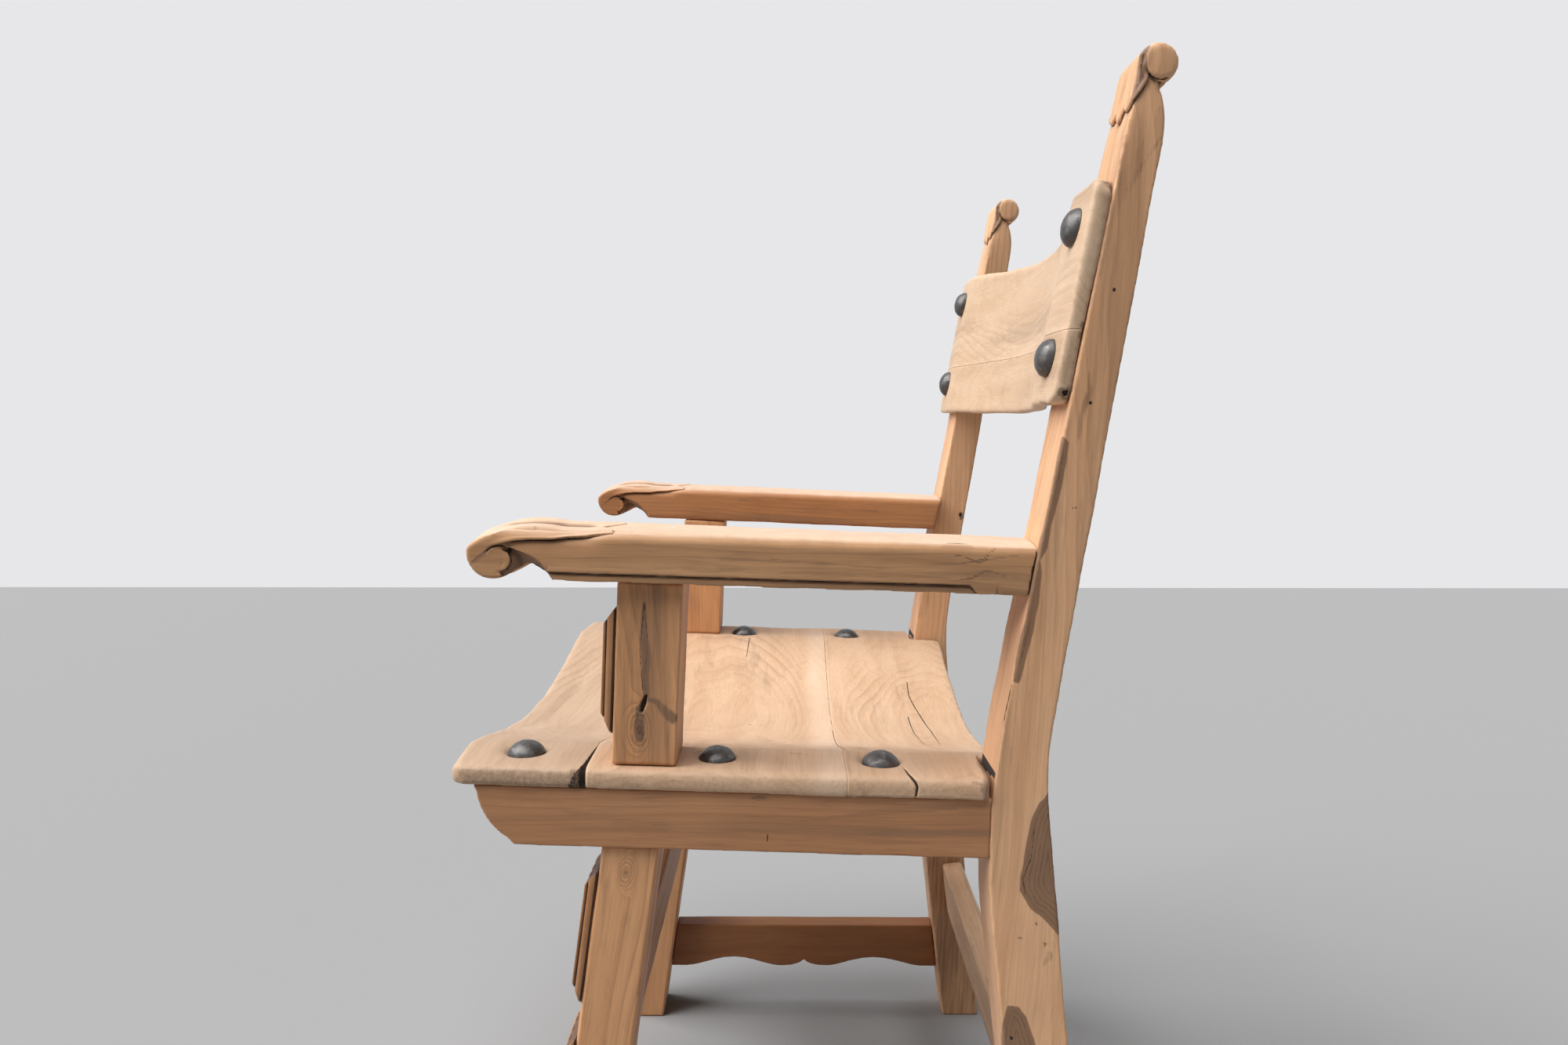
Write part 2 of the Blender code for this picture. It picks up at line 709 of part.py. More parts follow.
def nail(shop, name, mesh, place, turn, boards, through):
    """A nail driven through its boards, with a hole in each."""
    obj = add_object(name, mesh, shop.parts, place, turn)
    turned = obj.modifiers.new("turned", "SCREW")
    turned.steps = turned.render_steps = NAIL_STEPS
    turned.use_merge_vertices = True
    turned.merge_threshold = WELD
    drill(shop, name + "_hole", NAIL_SHANK_RADIUS + GAP, through + NAIL_BITE + 2 * GAP, place, turn, boards)
    return obj


def build():
    clear_scene()
    shop = Workshop()
    pieces = {}

    # Seat
    pieces["seat_board_front"] = seat_board(
        "seat_board_front", seat_front, SEAT_FRONT_JOINT_Y - GAP / 2, shop.parts, nosed=True
    )
    pieces["seat_board_middle"] = seat_board(
        "seat_board_middle", lambda x: SEAT_FRONT_JOINT_Y + GAP / 2, SEAT_BACK_JOINT_Y - GAP / 2, shop.parts
    )
    pieces["seat_board_back"] = seat_board(
        "seat_board_back", lambda x: SEAT_BACK_JOINT_Y + GAP / 2, SEAT_BACK_Y, shop.parts
    )

    # Back panel
    pieces["back_panel_lower"] = panel_board(
        "back_panel_lower", panel_bottom, lambda x: PANEL_JOINT_Z - GAP / 2, shop.parts, True, False
    )
    pieces["back_panel_upper"] = panel_board(
        "back_panel_upper", lambda x: PANEL_JOINT_Z + GAP / 2, panel_top, shop.parts, False, True
    )

    for side, sign in SIDES:
        build_side(shop, pieces, side, sign)
    build_cross_stretchers(shop, pieces)
    build_nails(shop, pieces)

    pale = finish("pale_wood", PALE_WOOD)
    warm = finish("warm_wood", WARM_WOOD)
    brown = finish("brown_wood", BROWN_WOOD)
    iron = finish("old_iron", OLD_IRON, IRON_ROUGHNESS, 1.0)
    for name, obj in pieces.items():
        if "nail" in name:
            shop.dress(obj, iron)
        elif "seat" in name or "panel" in name:
            shop.dress(obj, pale)
        elif "tablet" in name or "stretcher" in name:
            shop.dress(obj, brown)
        else:
            shop.dress(obj, warm)


def build_side(shop, pieces, side, sign):
    """One side frame: post, rail, leg, arm, arm support, side stretcher and tablets."""
    post = shop.ease(side_profile(f"back_post_{side}", post_outline(), POST_WIDTH, sign * POST_X, shop.parts))
    rail = shop.ease(side_profile(f"side_rail_{side}", rail_outline(), RAIL_WIDTH, sign * RAIL_X, shop.parts))

    top_front = LEG_TOP_Y
    top_back = leg_back(rail_bottom(LEG_TOP_Y + LEG_DEPTH))
    leg_corners = [
        Vector((leg_front(0), 0)),
        Vector((top_front, rail_bottom(top_front) - GAP)),
        Vector((top_back, rail_bottom(top_back) - GAP)),
        Vector((leg_back(0), 0)),
    ]
    leg = shop.ease(side_profile(f"front_leg_{side}", leg_corners, LEG_WIDTH, sign * LEG_X, shop.parts))

    foot = SUPPORT_FOOT_Y
    head = support_front(arm_bottom(foot))
    support_corners = [
        Vector((foot, seat_face(foot) + GAP)),
        Vector((head, arm_bottom(head) - GAP)),
        Vector((head + SUPPORT_DEPTH, arm_bottom(head + SUPPORT_DEPTH) - GAP)),
        Vector((foot + SUPPORT_DEPTH, seat_face(foot + SUPPORT_DEPTH) + GAP)),
    ]
    support = shop.ease(
        side_profile(f"arm_support_{side}", support_corners, SUPPORT_WIDTH, sign * SUPPORT_X, shop.parts)
    )

    arm = build_arm(shop, side, sign)
    stretcher = shop.ease(
        side_profile(
            f"side_stretcher_{side}",
            stretcher_outline(),
            SIDE_STRETCHER_THICK,
            sign * STRETCHER_X,
            shop.parts,
        )
    )
    pieces.update({o.name: o for o in (post, rail, leg, support, arm, stretcher)})

    # The seat's back board is notched round the post
    notch_heights = np.linspace(rail_top(SEAT_BACK_Y), seat_face(0), ARC_STEPS)
    notch_front = min(post_front(z) for z in notch_heights) - GAP
    notch_inner = HALF_FRAME - POST_WIDTH - GAP
    notch_size = (
        SEAT_HALF - notch_inner + POST_WIDTH,
        SEAT_BACK_Y - notch_front + POST_WIDTH,
        RAIL_HEIGHT * 2,
    )
    notch_place = (
        sign * (notch_inner + notch_size[0] / 2),
        notch_front + notch_size[1] / 2,
        seat_face(SEAT_BACK_Y),
    )
    notch = block(f"post_notch_{side}", notch_size, notch_place, (0, 0, 0), shop.cutters)
    shop.cut(pieces["seat_board_back"], notch)

    # Rail into post, arm into post
    across, along = FRAME_TENON
    length = FRAME_TENON_REACH + TENON_ROOT
    middle = (FRAME_TENON_REACH - TENON_ROOT) / 2
    rail_z = rail_top(POST_KNEE_Y) - RAIL_HEIGHT / 2
    for name, owner, turn, meet in (
        ("rail", rail, SEAT_RAKE, Vector((post_front(rail_z), rail_z))),
        ("arm", arm, ARM_RAKE, post_meets(ARM_HEIGHT / 2)),
    ):
        place = (sign * POST_X, meet.x + middle, meet.y - middle * math.tan(turn))
        shop.tenon(f"{name}_{side}", owner, [post], (across, length, along), place, (-turn, 0, 0))

    # Leg up into rail, support up into arm, support down through the seat into the rail
    leg_place = LEG_TOP_Y + LEG_DEPTH / 2
    rise = (UPRIGHT_TENON_REACH - TENON_ROOT) / 2
    tall = UPRIGHT_TENON_REACH + TENON_ROOT
    shop.tenon(
        f"leg_{side}",
        leg,
        [rail],
        (across, along, tall),
        (sign * LEG_X, leg_place, rail_bottom(leg_place) + rise),
    )
    head_place = head + SUPPORT_DEPTH / 2
    shop.tenon(
        f"support_head_{side}",
        support,
        [arm],
        (across, along, tall),
        (sign * SUPPORT_X, head_place, arm_bottom(head_place) + rise),
    )
    foot_place = foot + SUPPORT_DEPTH / 2
    deep = SEAT_THICK + UPRIGHT_TENON_REACH + TENON_ROOT
    shop.tenon(
        f"support_foot_{side}",
        support,
        [pieces["seat_board_middle"], rail],
        (across, along, deep),
        (sign * SUPPORT_X, foot_place, seat_face(foot_place) + TENON_ROOT - deep / 2),
    )

    # Side stretcher into leg and post
    thin, high = STRETCHER_TENON
    middle_z = SIDE_STRETCHER_TOP_Z - (SIDE_STRETCHER_HEIGHT - SCALLOP_RISE) / 2
    short = STRETCHER_TENON_REACH + TENON_ROOT
    shift = (STRETCHER_TENON_REACH - TENON_ROOT) / 2
    for name, socket, y in (
        ("front", leg, leg_back(middle_z) - shift),
        ("back", post, post_front(middle_z) + shift),
    ):
        shop.tenon(
            f"side_stretcher_{name}_{side}",
            stretcher,
            [socket],
            (thin, short, high),
            (sign * STRETCHER_X, y, middle_z),
        )

    build_tablets(shop, pieces, side, sign)


def build_arm(shop, side, sign):
    """An arm: scrolled outline, splayed, with a hollowed throat and a stopped rebate below."""
    outer_back = HALF_FRAME - ARM_BACK_INSET
    back_y = post_meets(0).x
    splay = math.tan(ARM_SPLAY)
    middle_x = sign * (outer_back - ARM_WIDTH / 2)
    arm = side_profile(f"arm_{side}", arm_outline(), ARM_WIDTH, middle_x, shop.parts)
    # In the outline's own plane, y runs along local X and the width along local Z
    slant = Matrix.Identity(4)
    slant[2][0] = -sign * splay
    slant[2][3] = sign * splay * back_y
    arm.data.transform(slant)
    shop.ease(arm, ARM_EASE, 2)

    front_y = ARM_FRONT_Y + ARM_SCROLL_RADIUS
    for face in (1, -1):
        x = outer_back - ARM_WIDTH / 2 + splay * (back_y - front_y) + face * ARM_WIDTH / 2
        hollow = side_profile(
            f"throat_{side}_{face}", throat_hollow(), 2 * ARM_HOLLOW_DEPTH, sign * x, shop.cutters
        )
        shop.cut(arm, hollow)

    # The rebate runs along the outer lower edge and stops short of the post with a slope
    start = back_y - ARM_REBATE_STOP
    rebate_line = [
        arm_point(start, -ARM_REBATE_HEIGHT),
        arm_point(start - ARM_REBATE_HEIGHT, ARM_REBATE_HEIGHT),
        arm_point(front_y + ARM_THROAT_GAP, ARM_REBATE_HEIGHT),
        arm_point(front_y + ARM_THROAT_GAP, -ARM_REBATE_HEIGHT),
    ]
    rebate = side_profile(
        f"rebate_{side}", rebate_line, 2 * ARM_REBATE_DEPTH, sign * outer_back, shop.cutters
    )
    rebate.data.transform(slant)
    shop.cut(arm, rebate)
    return arm


def build_tablets(shop, pieces, side, sign):
    """The fluted tablets: one on the arm support, two on the front leg."""
    support_z = seat_face(SUPPORT_FOOT_Y) + SUPPORT_TABLET_RISE
    upper_z = rail_bottom(LEG_TOP_Y) - LEG_TABLET_DROP - LEG_TABLET_LENGTH * math.cos(LEG_RAKE)
    lower_z = upper_z - LEG_TABLET_SPACING
    for name, x, width, length, front, foot_z, rake in (
        (
            "support_tablet",
            SUPPORT_X,
            SUPPORT_WIDTH,
            SUPPORT_TABLET_LENGTH,
            support_front,
            support_z,
            SUPPORT_LEAN,
        ),
        ("leg_tablet_upper", LEG_X, LEG_WIDTH, LEG_TABLET_LENGTH, leg_front, upper_z, LEG_RAKE),
        ("leg_tablet_lower", LEG_X, LEG_WIDTH, LEG_TABLET_LENGTH, leg_front, lower_z, LEG_RAKE),
    ):
        name = f"{name}_{side}"
        z = foot_z + length / 2 * math.cos(rake)
        place = Vector((sign * x, front(z) - GAP / math.cos(rake), z))
        tablet = extruded(name, tablet_section(width), length, shop.parts, place, (-rake, 0, 0))
        for end, bevel in ((1, TABLET_TOP_BEVEL), (-1, TABLET_BOTTOM_BEVEL)):
            slope = math.atan2(TABLET_THICK, bevel)
            reach = 2 * math.hypot(TABLET_THICK, bevel)
            edge = Vector((0, -TABLET_LIP, end * length / 2))
            out = Vector((0, -math.cos(slope), end * math.sin(slope)))
            centre = place + Matrix.Rotation(-rake, 3, "X") @ (edge + out * TABLET_THICK)
            wedge = block(
                f"{name}_bevel_{end}",
                (width + 2 * TABLET_THICK, 2 * TABLET_THICK, 2 * reach),
                centre,
                (-rake - end * slope, 0, 0),
                shop.cutters,
            )
            shop.cut(tablet, wedge)
        pieces[name] = tablet


def build_cross_stretchers(shop, pieces):
    """The front and back stretchers, which lean with the legs that hold them."""
    thin, high = STRETCHER_TENON
    legs = [pieces[f"front_leg_{side}"] for side, _ in SIDES]
    posts = [pieces[f"back_post_{side}"] for side, _ in SIDES]
    front_z = FRONT_STRETCHER_BOTTOM_Z + FRONT_STRETCHER_HEIGHT / 2
    back_z = BACK_STRETCHER_BOTTOM_Z + BACK_STRETCHER_HEIGHT / 2
    front_depth = FRONT_STRETCHER_SETBACK + FRONT_STRETCHER_THICK / 2
    back_depth = BACK_STRETCHER_SETBACK + BACK_STRETCHER_THICK / 2
    front_y = leg_back(front_z) - front_depth / math.cos(LEG_RAKE)
    back_y = post_line(back_z) + back_depth / math.cos(POST_LOWER_RAKE)
    for name, sockets, inner, thick, tall, place, rake in (
        (
            "front_stretcher",
            legs,
            LEG_X - LEG_WIDTH / 2,
            FRONT_STRETCHER_THICK,
            FRONT_STRETCHER_HEIGHT,
            (0, front_y, front_z),
            -LEG_RAKE,
        ),
        (
            "back_stretcher",
            posts,
            POST_X - POST_WIDTH / 2,
            BACK_STRETCHER_THICK,
            BACK_STRETCHER_HEIGHT,
            (0, back_y, back_z),
            POST_LOWER_RAKE,
        ),
    ):
        board = shop.ease(block(name, (2 * (inner - GAP), thick, tall), place, (rake, 0, 0), shop.parts))
        size = (STRETCHER_TENON_REACH + TENON_ROOT, thin, high)
        middle = inner + (STRETCHER_TENON_REACH - TENON_ROOT) / 2
        for socket, (side, sign) in zip(sockets, SIDES):
            seat = (sign * middle, place[1], place[2])
            shop.tenon(f"{name}_{side}", board, [socket], size, seat, (rake, 0, 0))
        pieces[name] = board


def build_nails(shop, pieces):
    """Six nails hold the seat to the rails, and four hold the panel to the posts."""
    seat_mesh = nail_mesh("seat_nail", SEAT_THICK)
    panel_mesh = nail_mesh("panel_nail", PANEL_THICK)
    for side, sign in SIDES:
        rail = pieces[f"side_rail_{side}"]
        post = pieces[f"back_post_{side}"]
        for row, y in (
            ("front", SEAT_NAIL_FRONT_Y),
            ("middle", SEAT_NAIL_MIDDLE_Y),
            ("back", SEAT_NAIL_BACK_Y),
        ):
            place = (sign * (HALF_FRAME - SEAT_NAIL_INSET), y, seat_face(y) - SEAT_NAIL_SINK)
            turn = (-SEAT_RAKE, 0, 0)
            board = pieces[f"seat_board_{row}"]
            name = f"seat_nail_{row}_{side}"
            pieces[name] = nail(shop, name, seat_mesh, place, turn, [board, rail], SEAT_THICK)
            below = (place[0], y, place[2] - GAP + SEAT_NAIL_SINK)
            drill(shop, name + "_seat", NAIL_RADIUS + GAP, SEAT_NAIL_SINK, below, turn, [board])
        for row, z in (
            ("lower", PANEL_BOTTOM_Z + PANEL_NAIL_LOWER_RISE),
            ("upper", PANEL_TOP_Z - PANEL_NAIL_UPPER_DROP),
        ):
            x = HALF_FRAME - PANEL_NAIL_INSET
            place = (sign * x, panel_back(x, z) - PANEL_THICK - GAP / math.cos(POST_UPPER_RAKE), z)
            boards = [pieces[f"back_panel_{row}"], post]
            turn = (math.pi / 2 - POST_UPPER_RAKE, 0, 0)
            name = f"panel_nail_{row}_{side}"
            pieces[name] = nail(shop, name, panel_mesh, place, turn, boards, PANEL_THICK)


build()
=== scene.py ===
"""Dressed model of a carved wooden armchair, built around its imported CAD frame.

Every wooden piece is a finely meshed copy of its CAD node, softened by hand wear, carved and marked.
The iron nails come from one Geometry Nodes tree. Lengths are in metres and the chair faces -Y.
"""

import logging
import math
from collections.abc import Callable, Sequence
from dataclasses import dataclass, field, replace
from enum import Enum

import bmesh
import bpy
import numpy as np
from mathutils import Matrix, Vector
from mathutils.bvhtree import BVHTree


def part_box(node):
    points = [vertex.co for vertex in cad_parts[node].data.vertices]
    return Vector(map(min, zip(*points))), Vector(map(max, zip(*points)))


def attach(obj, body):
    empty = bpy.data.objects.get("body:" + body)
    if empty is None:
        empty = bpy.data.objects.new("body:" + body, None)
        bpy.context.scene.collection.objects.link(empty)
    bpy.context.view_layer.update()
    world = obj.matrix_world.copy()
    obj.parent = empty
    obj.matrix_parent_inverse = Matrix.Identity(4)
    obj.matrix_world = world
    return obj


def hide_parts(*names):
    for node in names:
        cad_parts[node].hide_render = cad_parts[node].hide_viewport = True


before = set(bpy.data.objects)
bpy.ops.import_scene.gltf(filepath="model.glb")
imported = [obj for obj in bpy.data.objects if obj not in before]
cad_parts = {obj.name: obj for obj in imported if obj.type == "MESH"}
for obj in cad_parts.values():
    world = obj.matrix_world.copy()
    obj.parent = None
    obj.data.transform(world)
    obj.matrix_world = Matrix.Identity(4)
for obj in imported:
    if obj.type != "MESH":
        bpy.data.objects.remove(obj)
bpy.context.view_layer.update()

LOG = logging.getLogger("armchair")
BODY = "root"
MILLIMETRE = 0.001
# How many millimetres away counts as clear of every crack.
CLEAR = 8.0
MERGE_DISTANCE = 1e-6
JOINT_GAP = 0.0003
JOINT_LAP = 0.001
JOINT_REACH = 0.0006

Colour = tuple[float, float, float]
Point = tuple[float, float, float]
Flat = tuple[float, float]


class Side(Enum):
    """The two sides of the chair, with the sign of their X coordinate."""

    LEFT = 1
    RIGHT = -1

    @property
    def word(self) -> str:
        """The side's word in the node names."""
        return self.name.lower()


class Slot(Enum):
    """The material slots of the record."""

    PALE = "pale_wood"
    WARM = "warm_wood"
    BROWN = "brown_wood"
    IRON = "old_iron"


class MarkKind(Enum):
    """What a mark in the wood is."""

    CRACK = "crack"
    STAIN = "stain"


@dataclass(frozen=True)
class WoodFinish:
    """Colours of one kind of stripped timber.

    Attributes:
        slot: The record's slot.
        pale: Pale, sun-faded sapwood.
        tan: Sapwood in the darker patches.
        line: Late wood of the growth rings.
        heart: Grey brown heartwood in streaks and stains, and the colour of painted shade in low places.
        ring: Spacing of the growth rings.
        streaks: How much heartwood shows, 0 to 1.
        roughness: Middle roughness of the sanded surface.
    """

    slot: Slot
    pale: Colour
    tan: Colour
    line: Colour
    heart: Colour
    ring: float
    streaks: float
    roughness: float


@dataclass(frozen=True)
class IronFinish:
    """Colours of the worn, blackened iron.

    Attributes:
        slot: The record's slot.
        black: Blackened skin.
        bare: Bare metal where the skin is rubbed off.
        rust: Thin brown rust in the low places.
        roughness: Middle roughness.
    """

    slot: Slot
    black: Colour
    bare: Colour
    rust: Colour
    roughness: float


PALE_WOOD = WoodFinish(
    Slot.PALE, (0.62, 0.415, 0.27), (0.54, 0.34, 0.205), (0.36, 0.205, 0.115), (0.25, 0.155, 0.095), 0.0058, 0.5, 0.52
)
WARM_WOOD = WoodFinish(
    Slot.WARM, (0.58, 0.325, 0.16), (0.48, 0.25, 0.118), (0.35, 0.175, 0.08), (0.2, 0.115, 0.07), 0.0046, 0.8, 0.5
)
RAIL_WOOD = replace(WARM_WOOD, pale=(0.53, 0.265, 0.13), tan=(0.43, 0.2, 0.09))
# Paler copy of the warm wood, painted lighter to stand in for more light on the legs and arm supports.
LIT_LEG_WOOD = replace(WARM_WOOD, pale=(0.72, 0.38, 0.185), tan=(0.61, 0.3, 0.135))
# Darker, redder copy of the warm wood, painted as shade on the far arm.
SHADED_FAR_ARM_WOOD = replace(WARM_WOOD, pale=(0.47, 0.215, 0.088), tan=(0.385, 0.16, 0.06), line=(0.27, 0.11, 0.042))
# Paler copy of the warm wood, painted lighter to stand in for more light on the posts.
LIT_POST_WOOD = replace(
    WARM_WOOD,
    pale=(0.8, 0.475, 0.268),
    tan=(0.69, 0.38, 0.2),
    line=(0.45, 0.24, 0.125),
    heart=(0.15, 0.08, 0.045),
    streaks=0.4,
)
FRONT_BOARD_WOOD = replace(PALE_WOOD, pale=(0.53, 0.37, 0.25), tan=(0.45, 0.3, 0.195), line=(0.34, 0.21, 0.125))
PANEL_WOOD = replace(PALE_WOOD, pale=(0.625, 0.45, 0.305), tan=(0.545, 0.37, 0.235), line=(0.44, 0.275, 0.17))
BROWN_WOOD = WoodFinish(
    Slot.BROWN, (0.47, 0.235, 0.11), (0.38, 0.175, 0.075), (0.27, 0.12, 0.05), (0.16, 0.08, 0.045), 0.0042, 0.8, 0.5
)
# Its near-black heart colour also serves as painted shade in the flutes.
GROOVE_SHADED_TABLET_WOOD = replace(BROWN_WOOD, heart=(0.05, 0.026, 0.016))
# Darker copy of the brown wood, painted as shade on the far stretcher under the seat.
SHADED_FAR_STRETCHER_WOOD = replace(BROWN_WOOD, pale=(0.34, 0.14, 0.052), tan=(0.26, 0.098, 0.035))
# Paler copy of the brown wood, painted lighter to stand in for front light reaching the back stretcher under the seat.
LIT_BACK_STRETCHER_WOOD = replace(BROWN_WOOD, pale=(0.85, 0.575, 0.365), tan=(0.74, 0.47, 0.29), line=(0.52, 0.3, 0.17))
OLD_IRON = IronFinish(Slot.IRON, (0.08, 0.077, 0.075), (0.27, 0.26, 0.25), (0.12, 0.085, 0.065), 0.36)
# Near black of cracks, and of dark lines painted as shadow along the carving and in narrow gaps.
CRACK_AND_SHADOW_COLOUR: Colour = (0.022, 0.013, 0.008)
# Dark brown of dirt, knots and heartwood lines, also used as painted shade in hollows.
DIRT_AND_SHADE_COLOUR: Colour = (0.115, 0.058, 0.03)
# Pale colour of sapwood, and of a painted sheen on the tops of the arms.
PALE_AND_SHEEN_COLOUR: Colour = (0.78, 0.6, 0.46)


@dataclass(frozen=True)
class Mark:
    """A crack or a stain that follows a line on a piece.

    Attributes:
        kind: A crack or a stain.
        line: Points of the line, in the chair's frame.
        width: Half width at the start, the middle and the end.
        strength: How dark a stain is, or how deep a crack is in metres.
    """

    kind: MarkKind
    line: tuple[Point, ...]
    width: tuple[float, float, float]
    strength: float = 1.0


@dataclass(frozen=True)
class Knot:
    """A knot that the grain runs round.

    Attributes:
        centre: Where it shows.
        along: Reach along the grain.
        across: Reach across the grain.
    """

    centre: Point
    along: float
    across: float


@dataclass(frozen=True)
class Grain:
    """How a piece lay in its tree.

    Attributes:
        direction: Along the fibres.
        pith: The tree's middle, as seen from the middle of the piece.
    """

    direction: Point
    pith: Point


def crack(*line: Point, width: tuple[float, float, float], depth: float = 0.0) -> Mark:
    """Returns a crack along a line, with half widths in millimetres and its depth in metres."""
    return Mark(MarkKind.CRACK, line, tuple(w * MILLIMETRE for w in width), depth)


def stain(*line: Point, width: tuple[float, float, float], strength: float) -> Mark:
    """Returns a stain along a line, with half widths in millimetres and its darkness."""
    return Mark(MarkKind.STAIN, line, tuple(w * MILLIMETRE for w in width), strength)


def smoothstep(low: float, high: float, value: np.ndarray) -> np.ndarray:
    """Eased step.

    Args:
        low: Where the step starts.
        high: Where it ends.
        value: The values to test.

    Returns:
        0 below low, 1 above high, and a smooth rise between them.
    """
    share = np.clip((value - low) / (high - low), 0.0, 1.0)
    return share * share * (3.0 - 2.0 * share)


def line_distance(points: np.ndarray, line: Sequence[Sequence[float]]) -> tuple[np.ndarray, np.ndarray]:
    """Distance to an open line, in the plane or in space.

    Args:
        points: The points, one row each.
        line: The line's corners.

    Returns:
        The distance of each point, and how far along the line its nearest place is, 0 to 1.
    """
    corners = np.asarray(line, float)
    lengths = np.linalg.norm(np.diff(corners, axis=0), axis=1)
    starts = np.concatenate(([0.0], np.cumsum(lengths)))
    best = np.full(len(points), np.inf)
    share = np.zeros(len(points))
    for index, length in enumerate(lengths):
        step = (corners[index + 1] - corners[index]) / max(length, 1e-12)
        offset = points - corners[index]
        along = np.clip(offset @ step, 0.0, length)
        away = np.linalg.norm(offset - along[:, None] * step, axis=1)
        nearer = away < best
        best = np.where(nearer, away, best)
        share = np.where(nearer, (starts[index] + along) / starts[-1], share)
    return best, share


def inside_outline(points: np.ndarray, outline: Sequence[Flat]) -> np.ndarray:
    """Which points lie inside a closed outline in the plane.

    Args:
        points: The points, one row each.
        outline: The outline's corners in order.

    Returns:
        True for each point inside.
    """
    x, y = points[:, 0], points[:, 1]
    inside = np.zeros(len(points), bool)
    corners = list(outline)
    for (x0, y0), (x1, y1) in zip(corners, corners[1:] + corners[:1]):
        if y0 == y1:
            continue
        crosses = (y0 > y) != (y1 > y)
        inside ^= crosses & (x < (x1 - x0) * (y - y0) / (y1 - y0) + x0)
    return inside


def outline_distance(points: np.ndarray, outline: Sequence[Flat]) -> np.ndarray:
    """Signed distance to a closed outline.

    Args:
        points: The points, one row each.
        outline: The outline's corners in order.

    Returns:
        The distance, negative inside the outline.
    """
    away, _ = line_distance(points, list(outline) + [outline[0]])
    return np.where(inside_outline(points, outline), -away, away)


def ripple(points: np.ndarray, wavelength: float, seed: int) -> np.ndarray:
    """Soft unevenness of a surface finished by hand.

    Args:
        points: The points, one row each.
        wavelength: Typical distance between two high places.
        seed: Fixed seed of the pattern.

    Returns:
        A value from about -1 to 1 for each point.
    """
    rng = np.random.default_rng(seed)
    total = np.zeros(len(points))
    waves = 9
    for _ in range(waves):
        direction = rng.normal(size=3)
        direction *= 2.0 * math.pi / (np.linalg.norm(direction) * wavelength * rng.uniform(0.6, 1.7))
        total += np.sin(points @ direction + rng.uniform(0.0, 2.0 * math.pi))
    return total / math.sqrt(2.0 * waves)


@dataclass(frozen=True)
class Joint:
    """A flat glue joint between two boards.

    Attributes:
        way: From the first board to the second.
        place: How far along that way the joint lies.
    """

    way: Point
    place: float

    @classmethod
    def between(cls, first: str, second: str, axis: int) -> "Joint":
        """Finds the joint between two nodes that meet along an axis.

        Args:
            first: The node before the joint.
            second: The node beyond it.
            axis: 0, 1 or 2 for X, Y or Z.

        Returns:
            The joint.
        """
        way = [0.0, 0.0, 0.0]
        way[axis] = 1.0
        return cls(tuple(way), (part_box(first)[1][axis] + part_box(second)[0][axis]) / 2)


def joined_copy(nodes: Sequence[str], joints: Sequence[Joint]) -> bpy.types.Mesh:
    """Copies CAD nodes into one mesh and laps their glue joints, so that they remesh as one.

    Args:
        nodes: The CAD nodes.
        joints: The glue joints between them.

    Returns:
        The mesh.
    """
    shape = bmesh.new()
    for node in nodes:
        shape.from_mesh(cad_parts[node].data)
    bmesh.ops.remove_doubles(shape, verts=shape.verts, dist=MERGE_DISTANCE)
    for joint in joints:
        way = Vector(joint.way)
        for vertex in shape.verts:
            beyond = vertex.co.dot(way) - joint.place
            if abs(beyond) < JOINT_REACH:
                vertex.co -= way * (beyond + math.copysign(JOINT_LAP, beyond))
    mesh = bpy.data.meshes.new(f"{nodes[0]}_copy")
    shape.to_mesh(mesh)
    shape.free()
    return mesh


def modified(mesh: bpy.types.Mesh, kind: str, **settings: object) -> bpy.types.Mesh:
    """Runs one modifier on a mesh.

    Args:
        mesh: The mesh, which is used up.
        kind: Blender's name of the modifier.
        **settings: The modifier's settings.

    Returns:
        The new mesh.
    """
    holder = bpy.data.objects.new("holder", mesh)
    bpy.context.scene.collection.objects.link(holder)
    modifier = holder.modifiers.new("step", kind)
    for name, value in settings.items():
        setattr(modifier, name, value)
    depsgraph = bpy.context.evaluated_depsgraph_get()
    result = bpy.data.meshes.new_from_object(holder.evaluated_get(depsgraph))
    bpy.data.objects.remove(holder)
    bpy.data.meshes.remove(mesh)
    return result


